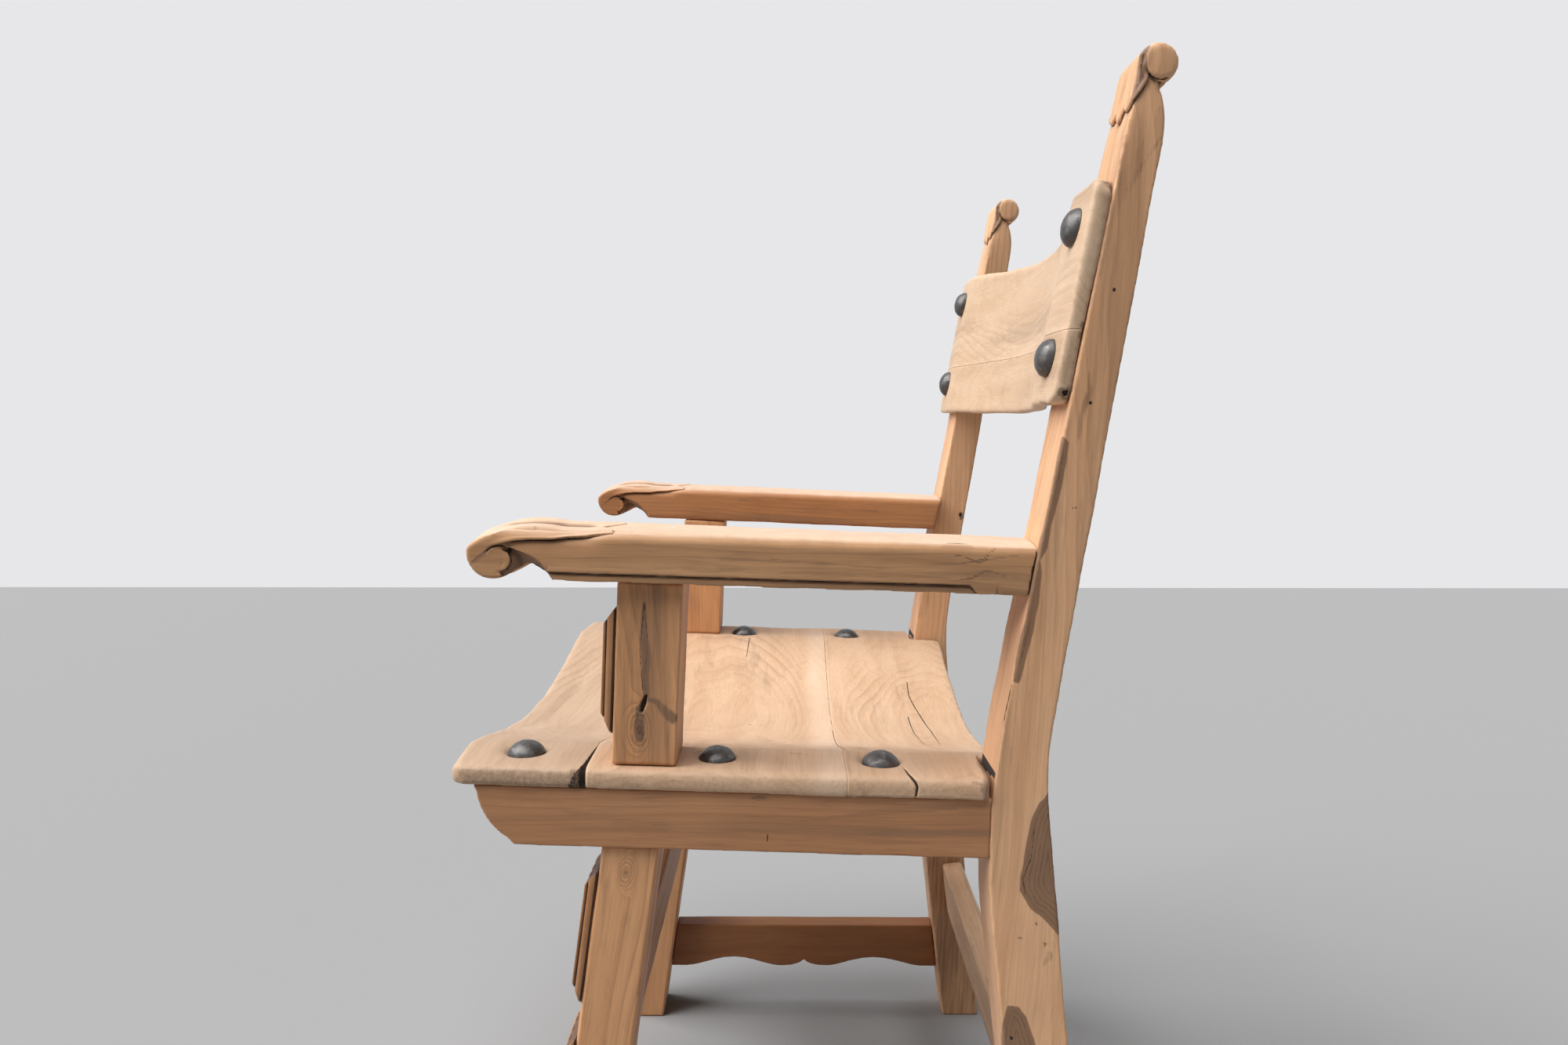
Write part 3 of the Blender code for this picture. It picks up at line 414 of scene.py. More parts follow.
class Timber:
    """A finely meshed copy of one CAD node, to be softened, carved, marked and dressed."""

    def __init__(self, node: str, voxel: float, mesh: bpy.types.Mesh) -> None:
        """Takes a mesh to work on.

        Args:
            node: The CAD node that the piece stands for.
            voxel: Mesh size.
            mesh: The piece's own mesh.
        """
        self.node = node
        self.voxel = voxel
        self.mesh = mesh
        # Distance to each crack; it also holds dark lines painted as shadow along the carving and in narrow gaps.
        self.cracks: np.ndarray | None = None
        # Darkening of each point: real dirt and old finish, and painted shade in recesses, gaps and under overhangs.
        self.soil: np.ndarray | float = 0.0
        # Paleness of each point: pale sapwood, and a painted sheen on the upward faces of the arms.
        self.bleach: np.ndarray | float = 0.0
        self.heart: np.ndarray | float = -8.0
        self.drawn: BVHTree | None = None
        self._read()
        low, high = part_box(node)
        self.middle = (np.asarray(low) + np.asarray(high)) / 2

    @classmethod
    def remeshed(cls, nodes: Sequence[str], voxel: float, joints: Sequence[Joint] = ()) -> "Timber":
        """Makes an even mesh of one node, or of boards that are glued together.

        Args:
            nodes: The CAD nodes.
            voxel: Mesh size.
            joints: The glue joints between them.

        Returns:
            The piece.
        """
        copy = joined_copy(nodes, joints)
        shape = bmesh.new()
        shape.from_mesh(copy)
        drawn = BVHTree.FromBMesh(shape)
        shape.free()
        piece = cls(nodes[0], voxel, modified(copy, "REMESH", mode="VOXEL", voxel_size=voxel))
        piece.drawn = drawn
        return piece

    @classmethod
    def eased(cls, node: str, width: float) -> "Timber":
        """Keeps a node's crisp mouldings and only takes off the sharp edges.

        Args:
            node: The CAD node.
            width: Width of the eased edges.

        Returns:
            The piece.
        """
        copy = joined_copy((node,), ())
        settings = {"width": width, "segments": 2, "limit_method": "ANGLE", "harden_normals": True}
        return cls(node, width, modified(copy, "BEVEL", **settings))

    def board(self, node: str, cuts: Sequence[tuple[Joint, int]]) -> "Timber":
        """Saws one board off a glued piece.

        Args:
            node: The board's CAD node.
            cuts: Each joint, with 1 to keep what lies beyond it or -1 to keep what lies before it.

        Returns:
            The board.
        """
        self._write()
        shape = bmesh.new()
        shape.from_mesh(self.mesh)
        for joint, keep in cuts:
            way = Vector(joint.way)
            place = way * (joint.place + keep * JOINT_GAP / 2)
            everything = list(shape.verts) + list(shape.edges) + list(shape.faces)
            bmesh.ops.bisect_plane(
                shape, geom=everything, plane_co=place, plane_no=way, clear_inner=keep > 0, clear_outer=keep < 0
            )
            open_edges = [edge for edge in shape.edges if edge.is_boundary]
            caps = bmesh.ops.holes_fill(shape, edges=open_edges, sides=0)["faces"]
            bmesh.ops.triangulate(shape, faces=caps)
        bmesh.ops.recalc_face_normals(shape, faces=shape.faces)
        mesh = bpy.data.meshes.new(node)
        shape.to_mesh(mesh)
        shape.free()
        return Timber(node, self.voxel, mesh)

    def _read(self) -> None:
        """Takes points and edges from the mesh."""
        count = len(self.mesh.vertices)
        flat = np.empty(count * 3, np.float32)
        self.mesh.vertices.foreach_get("co", flat)
        self.points = flat.reshape(-1, 3).astype(float)
        ends = np.empty(len(self.mesh.edges) * 2, np.int32)
        self.mesh.edges.foreach_get("vertices", ends)
        self.edges = ends.reshape(-1, 2)
        self.degree = np.maximum(np.bincount(ends, minlength=count), 1)

    def _write(self) -> None:
        """Puts the points back into the mesh."""
        self.mesh.vertices.foreach_set("co", self.points.astype(np.float32).ravel())
        self.mesh.update()

    def _spread(self, values: np.ndarray) -> np.ndarray:
        """Returns the mean of each point's neighbours."""
        first, second = self.edges.T
        count = len(self.points)
        total = np.bincount(first, values[second], count) + np.bincount(second, values[first], count)
        return total / self.degree

    def normals(self) -> np.ndarray:
        """Returns the outward direction at each point."""
        self._write()
        flat = np.empty(len(self.points) * 3, np.float32)
        self.mesh.vertex_normals.foreach_get("vector", flat)
        return flat.reshape(-1, 3).astype(float)

    def refine(self, chosen: np.ndarray) -> None:
        """Halves the mesh size in one region.

        Args:
            chosen: True for the points of the region.
        """
        self._write()
        shape = bmesh.new()
        shape.from_mesh(self.mesh)
        picked = [edge for edge in shape.edges if chosen[edge.verts[0].index] and chosen[edge.verts[1].index]]
        bmesh.ops.subdivide_edges(shape, edges=picked, cuts=1, use_grid_fill=True)
        shape.to_mesh(self.mesh)
        shape.free()
        self._read()

    def soften(self, rounds: int, weight: np.ndarray | float = 1.0) -> None:
        """Rounds the edges as sanding does.

        Args:
            rounds: How often each point moves towards its neighbours.
            weight: How much each point takes part, 0 to 1.
        """
        share = 0.5 * np.broadcast_to(np.asarray(weight, float), (len(self.points),))
        for _ in range(rounds):
            for axis in range(3):
                column = self.points[:, axis]
                self.points[:, axis] = column + share * (self._spread(column) - column)

    def refine_along(self, marks: Sequence[Mark]) -> None:
        """Refines the mesh along the cracks, so that thin lines stay unbroken.

        Args:
            marks: The piece's marks.
        """
        for reach in (2.4 * self.voxel, 1.2 * self.voxel):
            chosen = np.zeros(len(self.points), bool)
            normals = self.normals()
            for mark in marks:
                if mark.kind is MarkKind.CRACK:
                    close, away, half = self._along(mark, normals)
                    chosen[close] |= away - half < reach
            if chosen.any():
                self.refine(chosen)

    def settle(self, chosen: np.ndarray) -> None:
        """Lays the softened surface back on the CAD faces.

        Args:
            chosen: True for the points to lay back.
        """
        for index in np.flatnonzero(chosen):
            self.points[index] = self.drawn.find_nearest(self.points[index])[0]

    def crisp(self, below: float = math.inf) -> None:
        """Makes flats true and edges crisp again after softening.

        Args:
            below: Height up to which this is done.
        """
        self.refine((np.abs(self._relief()) > 0.25) & (self.points[:, 2] < below))
        low = self.points[:, 2] < below
        self.settle(low)
        self.soften(1, 0.8 * (low & (np.abs(self._relief()) > 0.2)))

    def _along(self, mark: Mark, normals: np.ndarray) -> tuple[np.ndarray, np.ndarray, np.ndarray]:
        """Measures the surface near a mark, whose line is first laid on the surface.

        Args:
            mark: The mark.
            normals: The outward direction at each point.

        Returns:
            Indices of the points near the mark, their distance from its line, and half its width there.
        """
        corners = np.asarray(mark.line, float)
        margin = 0.03
        inside = (self.points > corners.min(axis=0) - margin) & (self.points < corners.max(axis=0) + margin)
        close = np.flatnonzero(inside.all(axis=1))
        points, normals = self.points[close], normals[close]
        lengths = np.linalg.norm(np.diff(corners, axis=0), axis=1)
        step = max(0.004, lengths.sum() / 40)
        runs = [
            np.linspace(start, end, int(length / step) + 1, endpoint=False)
            for start, end, length in zip(corners[:-1], corners[1:], lengths)
        ]
        line = np.concatenate(runs + [corners[-1:]])
        for place in line:
            nearest = ((points - place) ** 2).sum(axis=1).argmin()
            place += normals[nearest] * ((points[nearest] - place) @ normals[nearest])
        away, share = line_distance(points, line)
        return close, away, np.interp(share, (0.0, 0.5, 1.0), mark.width)

    def push(self, depth: np.ndarray) -> None:
        """Moves the surface along its normal.

        Args:
            depth: Distance for each point, positive outwards.
        """
        self.points += depth[:, None] * self.normals()

    def uneven(self, height: float, wavelength: float, seed: int) -> None:
        """Makes the surface uneven, as hand finishing leaves it.

        Args:
            height: Height of the waves.
            wavelength: Distance between them.
            seed: Fixed seed of the pattern.
        """
        self.push(height * ripple(self.points, wavelength, seed))

    def open_cracks(self, marks: Sequence[Mark]) -> None:
        """Works out the cracks and sinks the wide ones into the surface.

        Args:
            marks: The piece's marks.
        """
        reach = 8.0 * MILLIMETRE
        nearest = np.full(len(self.points), reach)
        depth = np.zeros(len(self.points))
        normals = self.normals()
        for mark in marks:
            if mark.kind is not MarkKind.CRACK:
                continue
            close, away, half = self._along(mark, normals)
            nearest[close] = np.minimum(nearest[close], away - half)
            if mark.strength:
                sunk = mark.strength * smoothstep(1.1 * MILLIMETRE, -0.2 * MILLIMETRE, away - half)
                depth[close] = np.maximum(depth[close], sunk)
        self.cracks = nearest / MILLIMETRE
        if depth.any():
            self.push(-depth)

    def _relief(self) -> np.ndarray:
        """Returns how raised each point is: 1 on a sharp ridge, -1 in a sharp groove."""
        normals = self.normals()
        bend = np.zeros(len(self.points))
        for axis in range(3):
            column = self.points[:, axis]
            bend += normals[:, axis] * (column - self._spread(column))
        bend = np.clip(bend / (0.09 * self.voxel), -1.0, 1.0)
        for _ in range(3):
            bend = 0.5 * bend + 0.5 * self._spread(bend)
        return np.clip(1.6 * bend, -1.0, 1.0)

    def _attribute(self, name: str, values: np.ndarray) -> None:
        """Stores one value for each point under a name that the materials read."""
        layer = self.mesh.attributes.new(name, "FLOAT", "POINT")
        layer.data.foreach_set("value", values.astype(np.float32))

    def dress(self, finish: WoodFinish, grain: Grain, marks: Sequence[Mark] = (), knots: Sequence[Knot] = ()) -> None:
        """Stores the marks, makes the material and hands the piece to the frame.

        Args:
            finish: The timber's colours.
            grain: How the piece lay in its tree.
            marks: Its cracks and stains.
            knots: Its knots.
        """
        if self.cracks is None:
            self.open_cracks(marks)
        # Each point starts from its dirt and painted shade, and the stains darken it further.
        shade = np.zeros(len(self.points)) + self.soil
        normals = self.normals()
        for mark in marks:
            if mark.kind is MarkKind.STAIN:
                close, away, half = self._along(mark, normals)
                soaked = mark.strength * smoothstep(1.5, 0.35, away / np.maximum(half, 1e-5))
                shade[close] = np.maximum(shade[close], soaked)
        direction = np.asarray(Vector(grain.direction).normalized())
        swirl = np.full(len(self.points), 4.0)
        for knot in knots:
            offset = self.points - np.asarray(knot.centre)
            along = offset @ direction
            across = np.linalg.norm(offset - along[:, None] * direction, axis=1)
            swirl = np.minimum(swirl, np.hypot(along / knot.along, across / knot.across))
        relief = self._relief()
        self._write()
        # The crack value also carries the dark lines painted as shadow.
        self._attribute("crack", self.cracks)
        # The stain value also carries the painted shade.
        self._attribute("stain", shade)
        self._attribute("swirl", swirl)
        self._attribute("relief", relief)
        self._attribute("bleach", np.zeros(len(self.points)) + self.bleach)
        self._attribute("heart", np.zeros(len(self.points)) + self.heart)
        self.mesh.polygons.foreach_set("use_smooth", np.ones(len(self.mesh.polygons), bool))
        self.mesh.materials.clear()
        pith = tuple(self.middle + np.asarray(grain.pith))
        self.mesh.materials.append(wood_material(self.node, finish, grain, pith))
        self.mesh.name = f"{self.node}_timber"
        piece = bpy.data.objects.new(f"{self.node}_timber", self.mesh)
        bpy.context.scene.collection.objects.link(piece)
        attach(piece, BODY)
        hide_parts(self.node)
        LOG.info("%s: %d faces", piece.name, len(self.mesh.polygons))


class Wiring:
    """Short ways to add and link the nodes of one tree."""

    def __init__(self, tree: bpy.types.NodeTree) -> None:
        """Takes the tree to work on."""
        self.tree = tree

    def add(self, kind: str, **settings: object) -> bpy.types.Node:
        """Adds a node.

        Args:
            kind: Blender's name of the node's type.
            **settings: Properties to set on it.

        Returns:
            The new node.
        """
        node = self.tree.nodes.new(kind)
        for name, value in settings.items():
            setattr(node, name, value)
        return node

    def feed(self, socket: bpy.types.NodeSocket, value: object) -> None:
        """Links an output to a socket, or sets the socket's own value."""
        if isinstance(value, bpy.types.NodeSocket):
            self.tree.links.new(value, socket)
        else:
            socket.default_value = value

    def maths(self, operation: str, *values: object, clamp: bool = False) -> bpy.types.NodeSocket:
        """Adds a Math node.

        Args:
            operation: Blender's name of the operation.
            *values: Outputs or numbers.
            clamp: Whether the result is held between 0 and 1.

        Returns:
            The node's output.
        """
        node = self.add("ShaderNodeMath", operation=operation, use_clamp=clamp)
        for socket, value in zip(node.inputs, values):
            self.feed(socket, value)
        return node.outputs[0]

    def times(self, *values: object, clamp: bool = False) -> bpy.types.NodeSocket:
        """Multiplies two values."""
        return self.maths("MULTIPLY", *values, clamp=clamp)

    def plus(self, *values: object, clamp: bool = False) -> bpy.types.NodeSocket:
        """Adds two values."""
        return self.maths("ADD", *values, clamp=clamp)

    def minus(self, *values: object, clamp: bool = False) -> bpy.types.NodeSocket:
        """Takes the second value from the first."""
        return self.maths("SUBTRACT", *values, clamp=clamp)

    def vector(self, operation: str, *values: object) -> bpy.types.NodeSocket:
        """Adds a Vector Math node.

        Args:
            operation: Blender's name of the operation.
            *values: Outputs or vectors.

        Returns:
            The node's vector, or its value where the operation gives one.
        """
        node = self.add("ShaderNodeVectorMath", operation=operation)
        for socket, value in zip(node.inputs, values):
            self.feed(socket, value)
        return node.outputs["Value" if operation in ("LENGTH", "DOT_PRODUCT", "DISTANCE") else "Vector"]

    def noise(
        self, place: object, stretch: Point, detail: float, roughness: float = 0.5, distortion: float = 0.0
    ) -> bpy.types.Node:
        """Adds a noise that is drawn out along the axes.

        Args:
            place: Where the noise is read.
            stretch: Waves for each metre along the three axes.
            detail: Octaves.
            roughness: Weight of the finer octaves.
            distortion: How much the noise twists itself.

        Returns:
            The noise node.
        """
        node = self.add("ShaderNodeTexNoise")
        self.feed(node.inputs["Vector"], self.vector("MULTIPLY", place, stretch))
        node.inputs["Scale"].default_value = 1.0
        node.inputs["Detail"].default_value = detail
        node.inputs["Roughness"].default_value = roughness
        node.inputs["Distortion"].default_value = distortion
        return node

    def ease(self, value: object, low: object, high: object) -> bpy.types.NodeSocket:
        """Adds a smooth step from 0 at low to 1 at high."""
        node = self.add("ShaderNodeMapRange", interpolation_type="SMOOTHSTEP")
        for name, number in (("Value", value), ("From Min", low), ("From Max", high)):
            self.feed(node.inputs[name], number)
        return node.outputs["Result"]

    def mix(self, share: object, first: object, second: object, blend: str = "MIX") -> bpy.types.NodeSocket:
        """Mixes two colours.

        Args:
            share: How much of the second colour.
            first: A colour.
            second: A colour.
            blend: Blender's name of the blend mode.

        Returns:
            The mixed colour.
        """
        node = self.add("ShaderNodeMix", data_type="RGBA", blend_type=blend)
        for index, value in ((0, share), (6, first), (7, second)):
            self.feed(node.inputs[index], rgba(value) if isinstance(value, tuple) else value)
        return node.outputs[2]


def rgba(colour: Colour) -> tuple[float, float, float, float]:
    """Returns a colour with full opacity."""
    return (*colour, 1.0)


@dataclass(frozen=True)
class Plug:
    """One socket of a node group.

    Attributes:
        name: The socket's name.
        kind: Blender's name of the socket's type.
        output: Whether it is an output.
    """

    name: str
    kind: str = "NodeSocketFloat"
    output: bool = False


def new_group(
    name: str, plugs: Sequence[Plug], kind: str = "ShaderNodeTree"
) -> tuple[Wiring, bpy.types.Node, bpy.types.Node]:
    """Starts a node group.

    Args:
        name: The group's name.
        plugs: Its sockets.
        kind: Blender's name of the tree's type.

    Returns:
        The wiring of its tree, its input node and its output node.
    """
    tree = bpy.data.node_groups.new(name, kind)
    for plug in plugs:
        tree.interface.new_socket(name=plug.name, in_out="OUTPUT" if plug.output else "INPUT", socket_type=plug.kind)
    wiring = Wiring(tree)
    return wiring, wiring.add("NodeGroupInput"), wiring.add("NodeGroupOutput")


GRAIN_MASKS: tuple[str, ...] = ("Rings", "Fibre", "Pores", "Streaks", "Patches", "Mottle")
MARK_MASKS: tuple[str, ...] = (
    "Crack", "Stain", "Knot", "Rubbed", "Grime", "Bleached", "Heartwood", "Contours"
)


def grain_group() -> bpy.types.NodeTree:
    """Builds the group that draws rings, fibres, pores and heartwood streaks.

    Returns:
        The group. Its place runs along the fibres on X, with the tree's middle at Y and Z of 0.
    """
    tree, given, gives = new_group(
        "timber grain",
        (
            Plug("Place", "NodeSocketVector"),
            Plug("Ring spacing"),
            Plug("Swirl"),
            *(Plug(name, output=True) for name in GRAIN_MASKS),
        ),
    )
    place = given.outputs["Place"]
    drift = tree.noise(place, (2.6, 13.0, 13.0), 2.0).outputs["Color"]
    sway = tree.vector("MULTIPLY", tree.vector("SUBTRACT", drift, (0.5, 0.5, 0.5)), (0.0, 0.03, 0.03))
    bent = tree.vector("ADD", place, sway)
    radius = tree.vector("LENGTH", tree.vector("MULTIPLY", bent, (0.0, 1.0, 1.0)))
    near = tree.minus(1.6, given.outputs["Swirl"], clamp=True)
    bulge = tree.times(tree.times(near, near), 0.012)
    turns = tree.maths("DIVIDE", tree.plus(radius, bulge), given.outputs["Ring spacing"])
    uneven = tree.noise(place, (1.5, 40.0, 40.0), 2.0).outputs["Fac"]
    phase = tree.maths("FRACT", tree.plus(turns, uneven))
    ramp = tree.maths("POWER", phase, 3.0)
    late = tree.times(ramp, tree.minus(1.0, tree.ease(phase, 0.93, 1.0)))
    strength = tree.noise(bent, (1.2, 24.0, 24.0), 2.0).outputs["Fac"]
    rings = tree.times(late, tree.ease(strength, 0.3, 0.72))
    fibre = tree.noise(bent, (16.0, 620.0, 620.0), 4.0, 0.62).outputs["Fac"]
    pores = tree.ease(tree.noise(bent, (110.0, 2600.0, 2600.0), 1.0).outputs["Fac"], 0.62, 0.74)
    band = tree.noise(bent, (1.5, 27.0, 27.0), 4.0, 0.55, 0.35).outputs["Fac"]
    fine = tree.noise(bent, (5.0, 210.0, 210.0), 2.0).outputs["Fac"]
    mixed = tree.plus(band, tree.times(tree.minus(fine, 0.5), 0.22))
    streaks = tree.ease(mixed, 0.54, 0.72)
    blobs = tree.ease(tree.noise(place, (4.0, 9.0, 9.0), 3.0).outputs["Fac"], 0.36, 0.66)
    bands = tree.ease(tree.noise(bent, (1.1, 46.0, 46.0), 3.0).outputs["Fac"], 0.38, 0.64)
    patches = tree.plus(tree.times(blobs, 0.5), tree.times(bands, 0.6), clamp=True)
    smudge = tree.noise(bent, (24.0, 110.0, 110.0), 4.0, 0.62, 0.4).outputs["Fac"]
    dashes = tree.noise(bent, (36.0, 900.0, 900.0), 2.0, 0.6).outputs["Fac"]
    mottle = tree.times(tree.ease(smudge, 0.44, 0.74), tree.ease(dashes, 0.3, 0.72))
    for name, value in zip(GRAIN_MASKS, (rings, fibre, pores, streaks, patches, mottle)):
        tree.feed(gives.inputs[name], value)
    return tree.tree


def marks_group() -> bpy.types.NodeTree:
    """Builds the group that reads a piece's own marks and breaks up their edges.

    Returns:
        The group, with masks for cracks and painted shadow lines, stains with dirt and painted shade, knots, rubbed
        edges, dirt and painted shade in hollows, pale wood and painted sheen, heartwood and its contours.
    """
    tree, given, gives = new_group(
        "timber marks",
        (
            Plug("Place", "NodeSocketVector"),
            Plug("Swirl", output=True),
            *(Plug(name, output=True) for name in MARK_MASKS),
        ),
    )

    def own(name: str) -> bpy.types.NodeSocket:
        """Returns one of the piece's own values."""
        return tree.add("ShaderNodeAttribute", attribute_name=name).outputs["Fac"]

    place = given.outputs["Place"]
    ragged = tree.noise(place, (260.0, 520.0, 520.0), 3.0, 0.6).outputs["Fac"]
    edge = tree.plus(own("crack"), tree.times(tree.minus(ragged, 0.5), 0.8))
    split = tree.minus(1.0, tree.ease(edge, -0.05, 0.42))
    cloud = tree.noise(place, (14.0, 90.0, 90.0), 4.0, 0.6, 0.3).outputs["Fac"]
    drawn = tree.noise(place, (7.0, 330.0, 330.0), 3.0, 0.6).outputs["Fac"]
    soaked = tree.plus(own("stain"), tree.times(tree.minus(cloud, 0.5), 0.6))
    soaked = tree.plus(soaked, tree.times(tree.minus(drawn, 0.5), 1.1))
    stain_and_shade = tree.times(tree.ease(soaked, 0.25, 1.05), tree.ease(own("stain"), 0.03, 0.45))
    swirl = own("swirl")
    wobble = tree.plus(swirl, tree.times(tree.minus(cloud, 0.5), 0.5))
    circles = tree.maths("POWER", tree.maths("ABSOLUTE", tree.maths("SINE", tree.times(wobble, 14.0))), 4.0)
    whorl = tree.times(circles, tree.minus(1.0, tree.ease(wobble, 0.55, 1.15)))
    heart = tree.minus(1.0, tree.ease(wobble, 0.12, 0.34))
    knot = tree.maths("MAXIMUM", heart, tree.times(whorl, 0.55))
    relief = own("relief")
    broken = tree.noise(place, (60.0, 60.0, 60.0), 4.0, 0.65).outputs["Fac"]
    rubbed = tree.times(tree.ease(relief, 0.12, 0.9), tree.ease(broken, 0.34, 0.66))
    # Hollows and creases darken: dirt and painted shade.
    low = tree.times(relief, -1.0)
    grime_and_shade = tree.times(tree.ease(low, 0.14, 0.85), tree.ease(broken, 0.2, 0.55))
    patchy = tree.plus(0.55, tree.times(broken, 0.7))
    # Pale sapwood and a painted sheen on upward faces, broken up.
    pale_and_sheen = tree.times(own("bleach"), patchy, clamp=True)
    grown = tree.plus(own("heart"), tree.times(tree.minus(cloud, 0.5), 5.0))
    heartwood = tree.ease(grown, -0.6, 0.9)
    lined = tree.maths("POWER", tree.maths("ABSOLUTE", tree.maths("COSINE", tree.times(grown, 0.85))), 12.0)
    contours = tree.times(tree.times(lined, heartwood), tree.ease(broken, 0.28, 0.58))
    tree.feed(gives.inputs["Swirl"], swirl)
    read = (split, stain_and_shade, knot, rubbed, grime_and_shade, pale_and_sheen, heartwood, contours)
    for name, value in zip(MARK_MASKS, read):
        tree.feed(gives.inputs[name], value)
    return tree.tree


def tint_group() -> bpy.types.NodeTree:
    """Builds the group that turns grain and marks into colour, roughness and height.

    Returns:
        The group.
    """
    masks = GRAIN_MASKS + MARK_MASKS
    colours = ("Pale", "Tan", "Line", "Heart")
    tree, given, gives = new_group(
        "timber tint",
        tuple(Plug(name) for name in masks)
        + tuple(Plug(name, "NodeSocketColor") for name in colours)
        + (
            Plug("Streak amount"),
            Plug("Roughness"),
            Plug("Colour", "NodeSocketColor", True),
            Plug("Sheen", output=True),
            Plug("Height", output=True),
        ),
    )
    value = {name: given.outputs[name] for name in masks + colours}
    tint = tree.mix(value["Patches"], value["Pale"], value["Tan"])
    tint = tree.mix(tree.times(value["Rings"], 0.72), tint, value["Line"])
    drawn = tree.times(value["Streaks"], given.outputs["Streak amount"])
    tint = tree.mix(tree.times(drawn, 0.75), tint, value["Heart"])
    smudged = tree.times(value["Mottle"], given.outputs["Streak amount"])
    tint = tree.mix(tree.times(smudged, 0.5), tint, value["Heart"])
    shade = tree.plus(0.76, tree.times(value["Fibre"], 0.48))
    tone = tree.add("ShaderNodeCombineColor")
    for socket in tone.inputs[:3]:
        tree.feed(socket, shade)
    tint = tree.mix(1.0, tint, tone.outputs[0], "MULTIPLY")
    tint = tree.mix(tree.times(value["Rubbed"], 0.55), tint, value["Pale"])
    # Pale sapwood, and a painted sheen on the arm tops.
    tint = tree.mix(tree.times(value["Bleached"], 0.8), tint, PALE_AND_SHEEN_COLOUR)
    # Stains, dirt and painted shade, all towards the heart colour.
    tint = tree.mix(tree.times(value["Stain"], 0.85), tint, value["Heart"])
    tint = tree.mix(tree.times(value["Heartwood"], 0.8), tint, value["Heart"])
    tint = tree.mix(tree.times(value["Contours"], 0.6), tint, DIRT_AND_SHADE_COLOUR)
    tint = tree.mix(tree.times(value["Knot"], 0.7), tint, DIRT_AND_SHADE_COLOUR)
    tint = tree.mix(tree.times(value["Pores"], 0.045), tint, DIRT_AND_SHADE_COLOUR)
    # Dirt and painted shade in hollows and creases.
    tint = tree.mix(tree.times(value["Grime"], 0.75), tint, DIRT_AND_SHADE_COLOUR)
    # Cracks, and dark lines painted as shadow along the carving and in gaps.
    tint = tree.mix(value["Crack"], tint, CRACK_AND_SHADOW_COLOUR)
    tree.feed(gives.inputs["Colour"], tint)
    rough = tree.plus(given.outputs["Roughness"], tree.times(value["Fibre"], 0.14))
    rough = tree.minus(rough, tree.times(value["Rubbed"], 0.1))
    rough = tree.plus(rough, tree.times(value["Crack"], 0.25))
    tree.feed(gives.inputs["Sheen"], rough)
    height = tree.times(value["Fibre"], 0.38)
    height = tree.minus(height, tree.times(value["Rings"], 0.25))
    height = tree.minus(height, tree.times(value["Pores"], 0.1))
    height = tree.minus(height, tree.times(value["Crack"], 3.0))
    tree.feed(gives.inputs["Height"], height)
    return tree.tree


def shared_group(name: str, build: Callable[[], bpy.types.NodeTree]) -> bpy.types.NodeTree:
    """Returns a node group, built on its first use."""
    return bpy.data.node_groups.get(name) or build()


def wood_material(name: str, finish: WoodFinish, grain: Grain, pith: Point) -> bpy.types.Material:
    """Makes the material of one wooden piece.

    Args:
        name: The piece's node.
        finish: The timber's colours.
        grain: How the piece lay in its tree.
        pith: The tree's middle, in the chair's frame.

    Returns:
        The material.
    """
    material = bpy.data.materials.new(f"{finish.slot.value}_{name}")
    material.use_nodes = True
    tree = Wiring(material.node_tree)
    surface = material.node_tree.nodes["Principled BSDF"]
    where = tree.add("ShaderNodeTexCoord").outputs["Object"]
    turned = tree.add("ShaderNodeMapping", vector_type="TEXTURE")
    tree.feed(turned.inputs["Vector"], where)
    turned.inputs["Location"].default_value = pith
    turned.inputs["Rotation"].default_value = Vector(grain.direction).to_track_quat("X", "Z").to_euler()
    place = turned.outputs["Vector"]

    def use(group: bpy.types.NodeTree) -> bpy.types.Node:
        """Returns a node that holds a group."""
        return tree.add("ShaderNodeGroup", node_tree=group)

    figure = use(shared_group("timber grain", grain_group))
    marks = use(shared_group("timber marks", marks_group))
    tint = use(shared_group("timber tint", tint_group))
    tree.feed(figure.inputs["Place"], place)
    figure.inputs["Ring spacing"].default_value = finish.ring
    tree.feed(marks.inputs["Place"], place)
    tree.feed(figure.inputs["Swirl"], marks.outputs["Swirl"])
    for source in (figure, marks):
        for socket in source.outputs:
            if socket.name in tint.inputs:
                tree.feed(tint.inputs[socket.name], socket)
    for socket, colour in (("Pale", finish.pale), ("Tan", finish.tan), ("Line", finish.line), ("Heart", finish.heart)):
        tint.inputs[socket].default_value = rgba(colour)
    tint.inputs["Streak amount"].default_value = finish.streaks
    tint.inputs["Roughness"].default_value = finish.roughness
    bump = tree.add("ShaderNodeBump")
    bump.inputs["Strength"].default_value = 0.5
    bump.inputs["Distance"].default_value = 0.0004
    tree.feed(bump.inputs["Height"], tint.outputs["Height"])
    tree.feed(surface.inputs["Base Color"], tint.outputs["Colour"])
    tree.feed(surface.inputs["Roughness"], tint.outputs["Sheen"])
    tree.feed(surface.inputs["Normal"], bump.outputs["Normal"])
    surface.inputs["Specular IOR Level"].default_value = 0.36
    surface.inputs["Sheen Weight"].default_value = 0.1
    surface.inputs["Sheen Roughness"].default_value = 0.35
    material.diffuse_color = rgba(finish.pale)
    return material


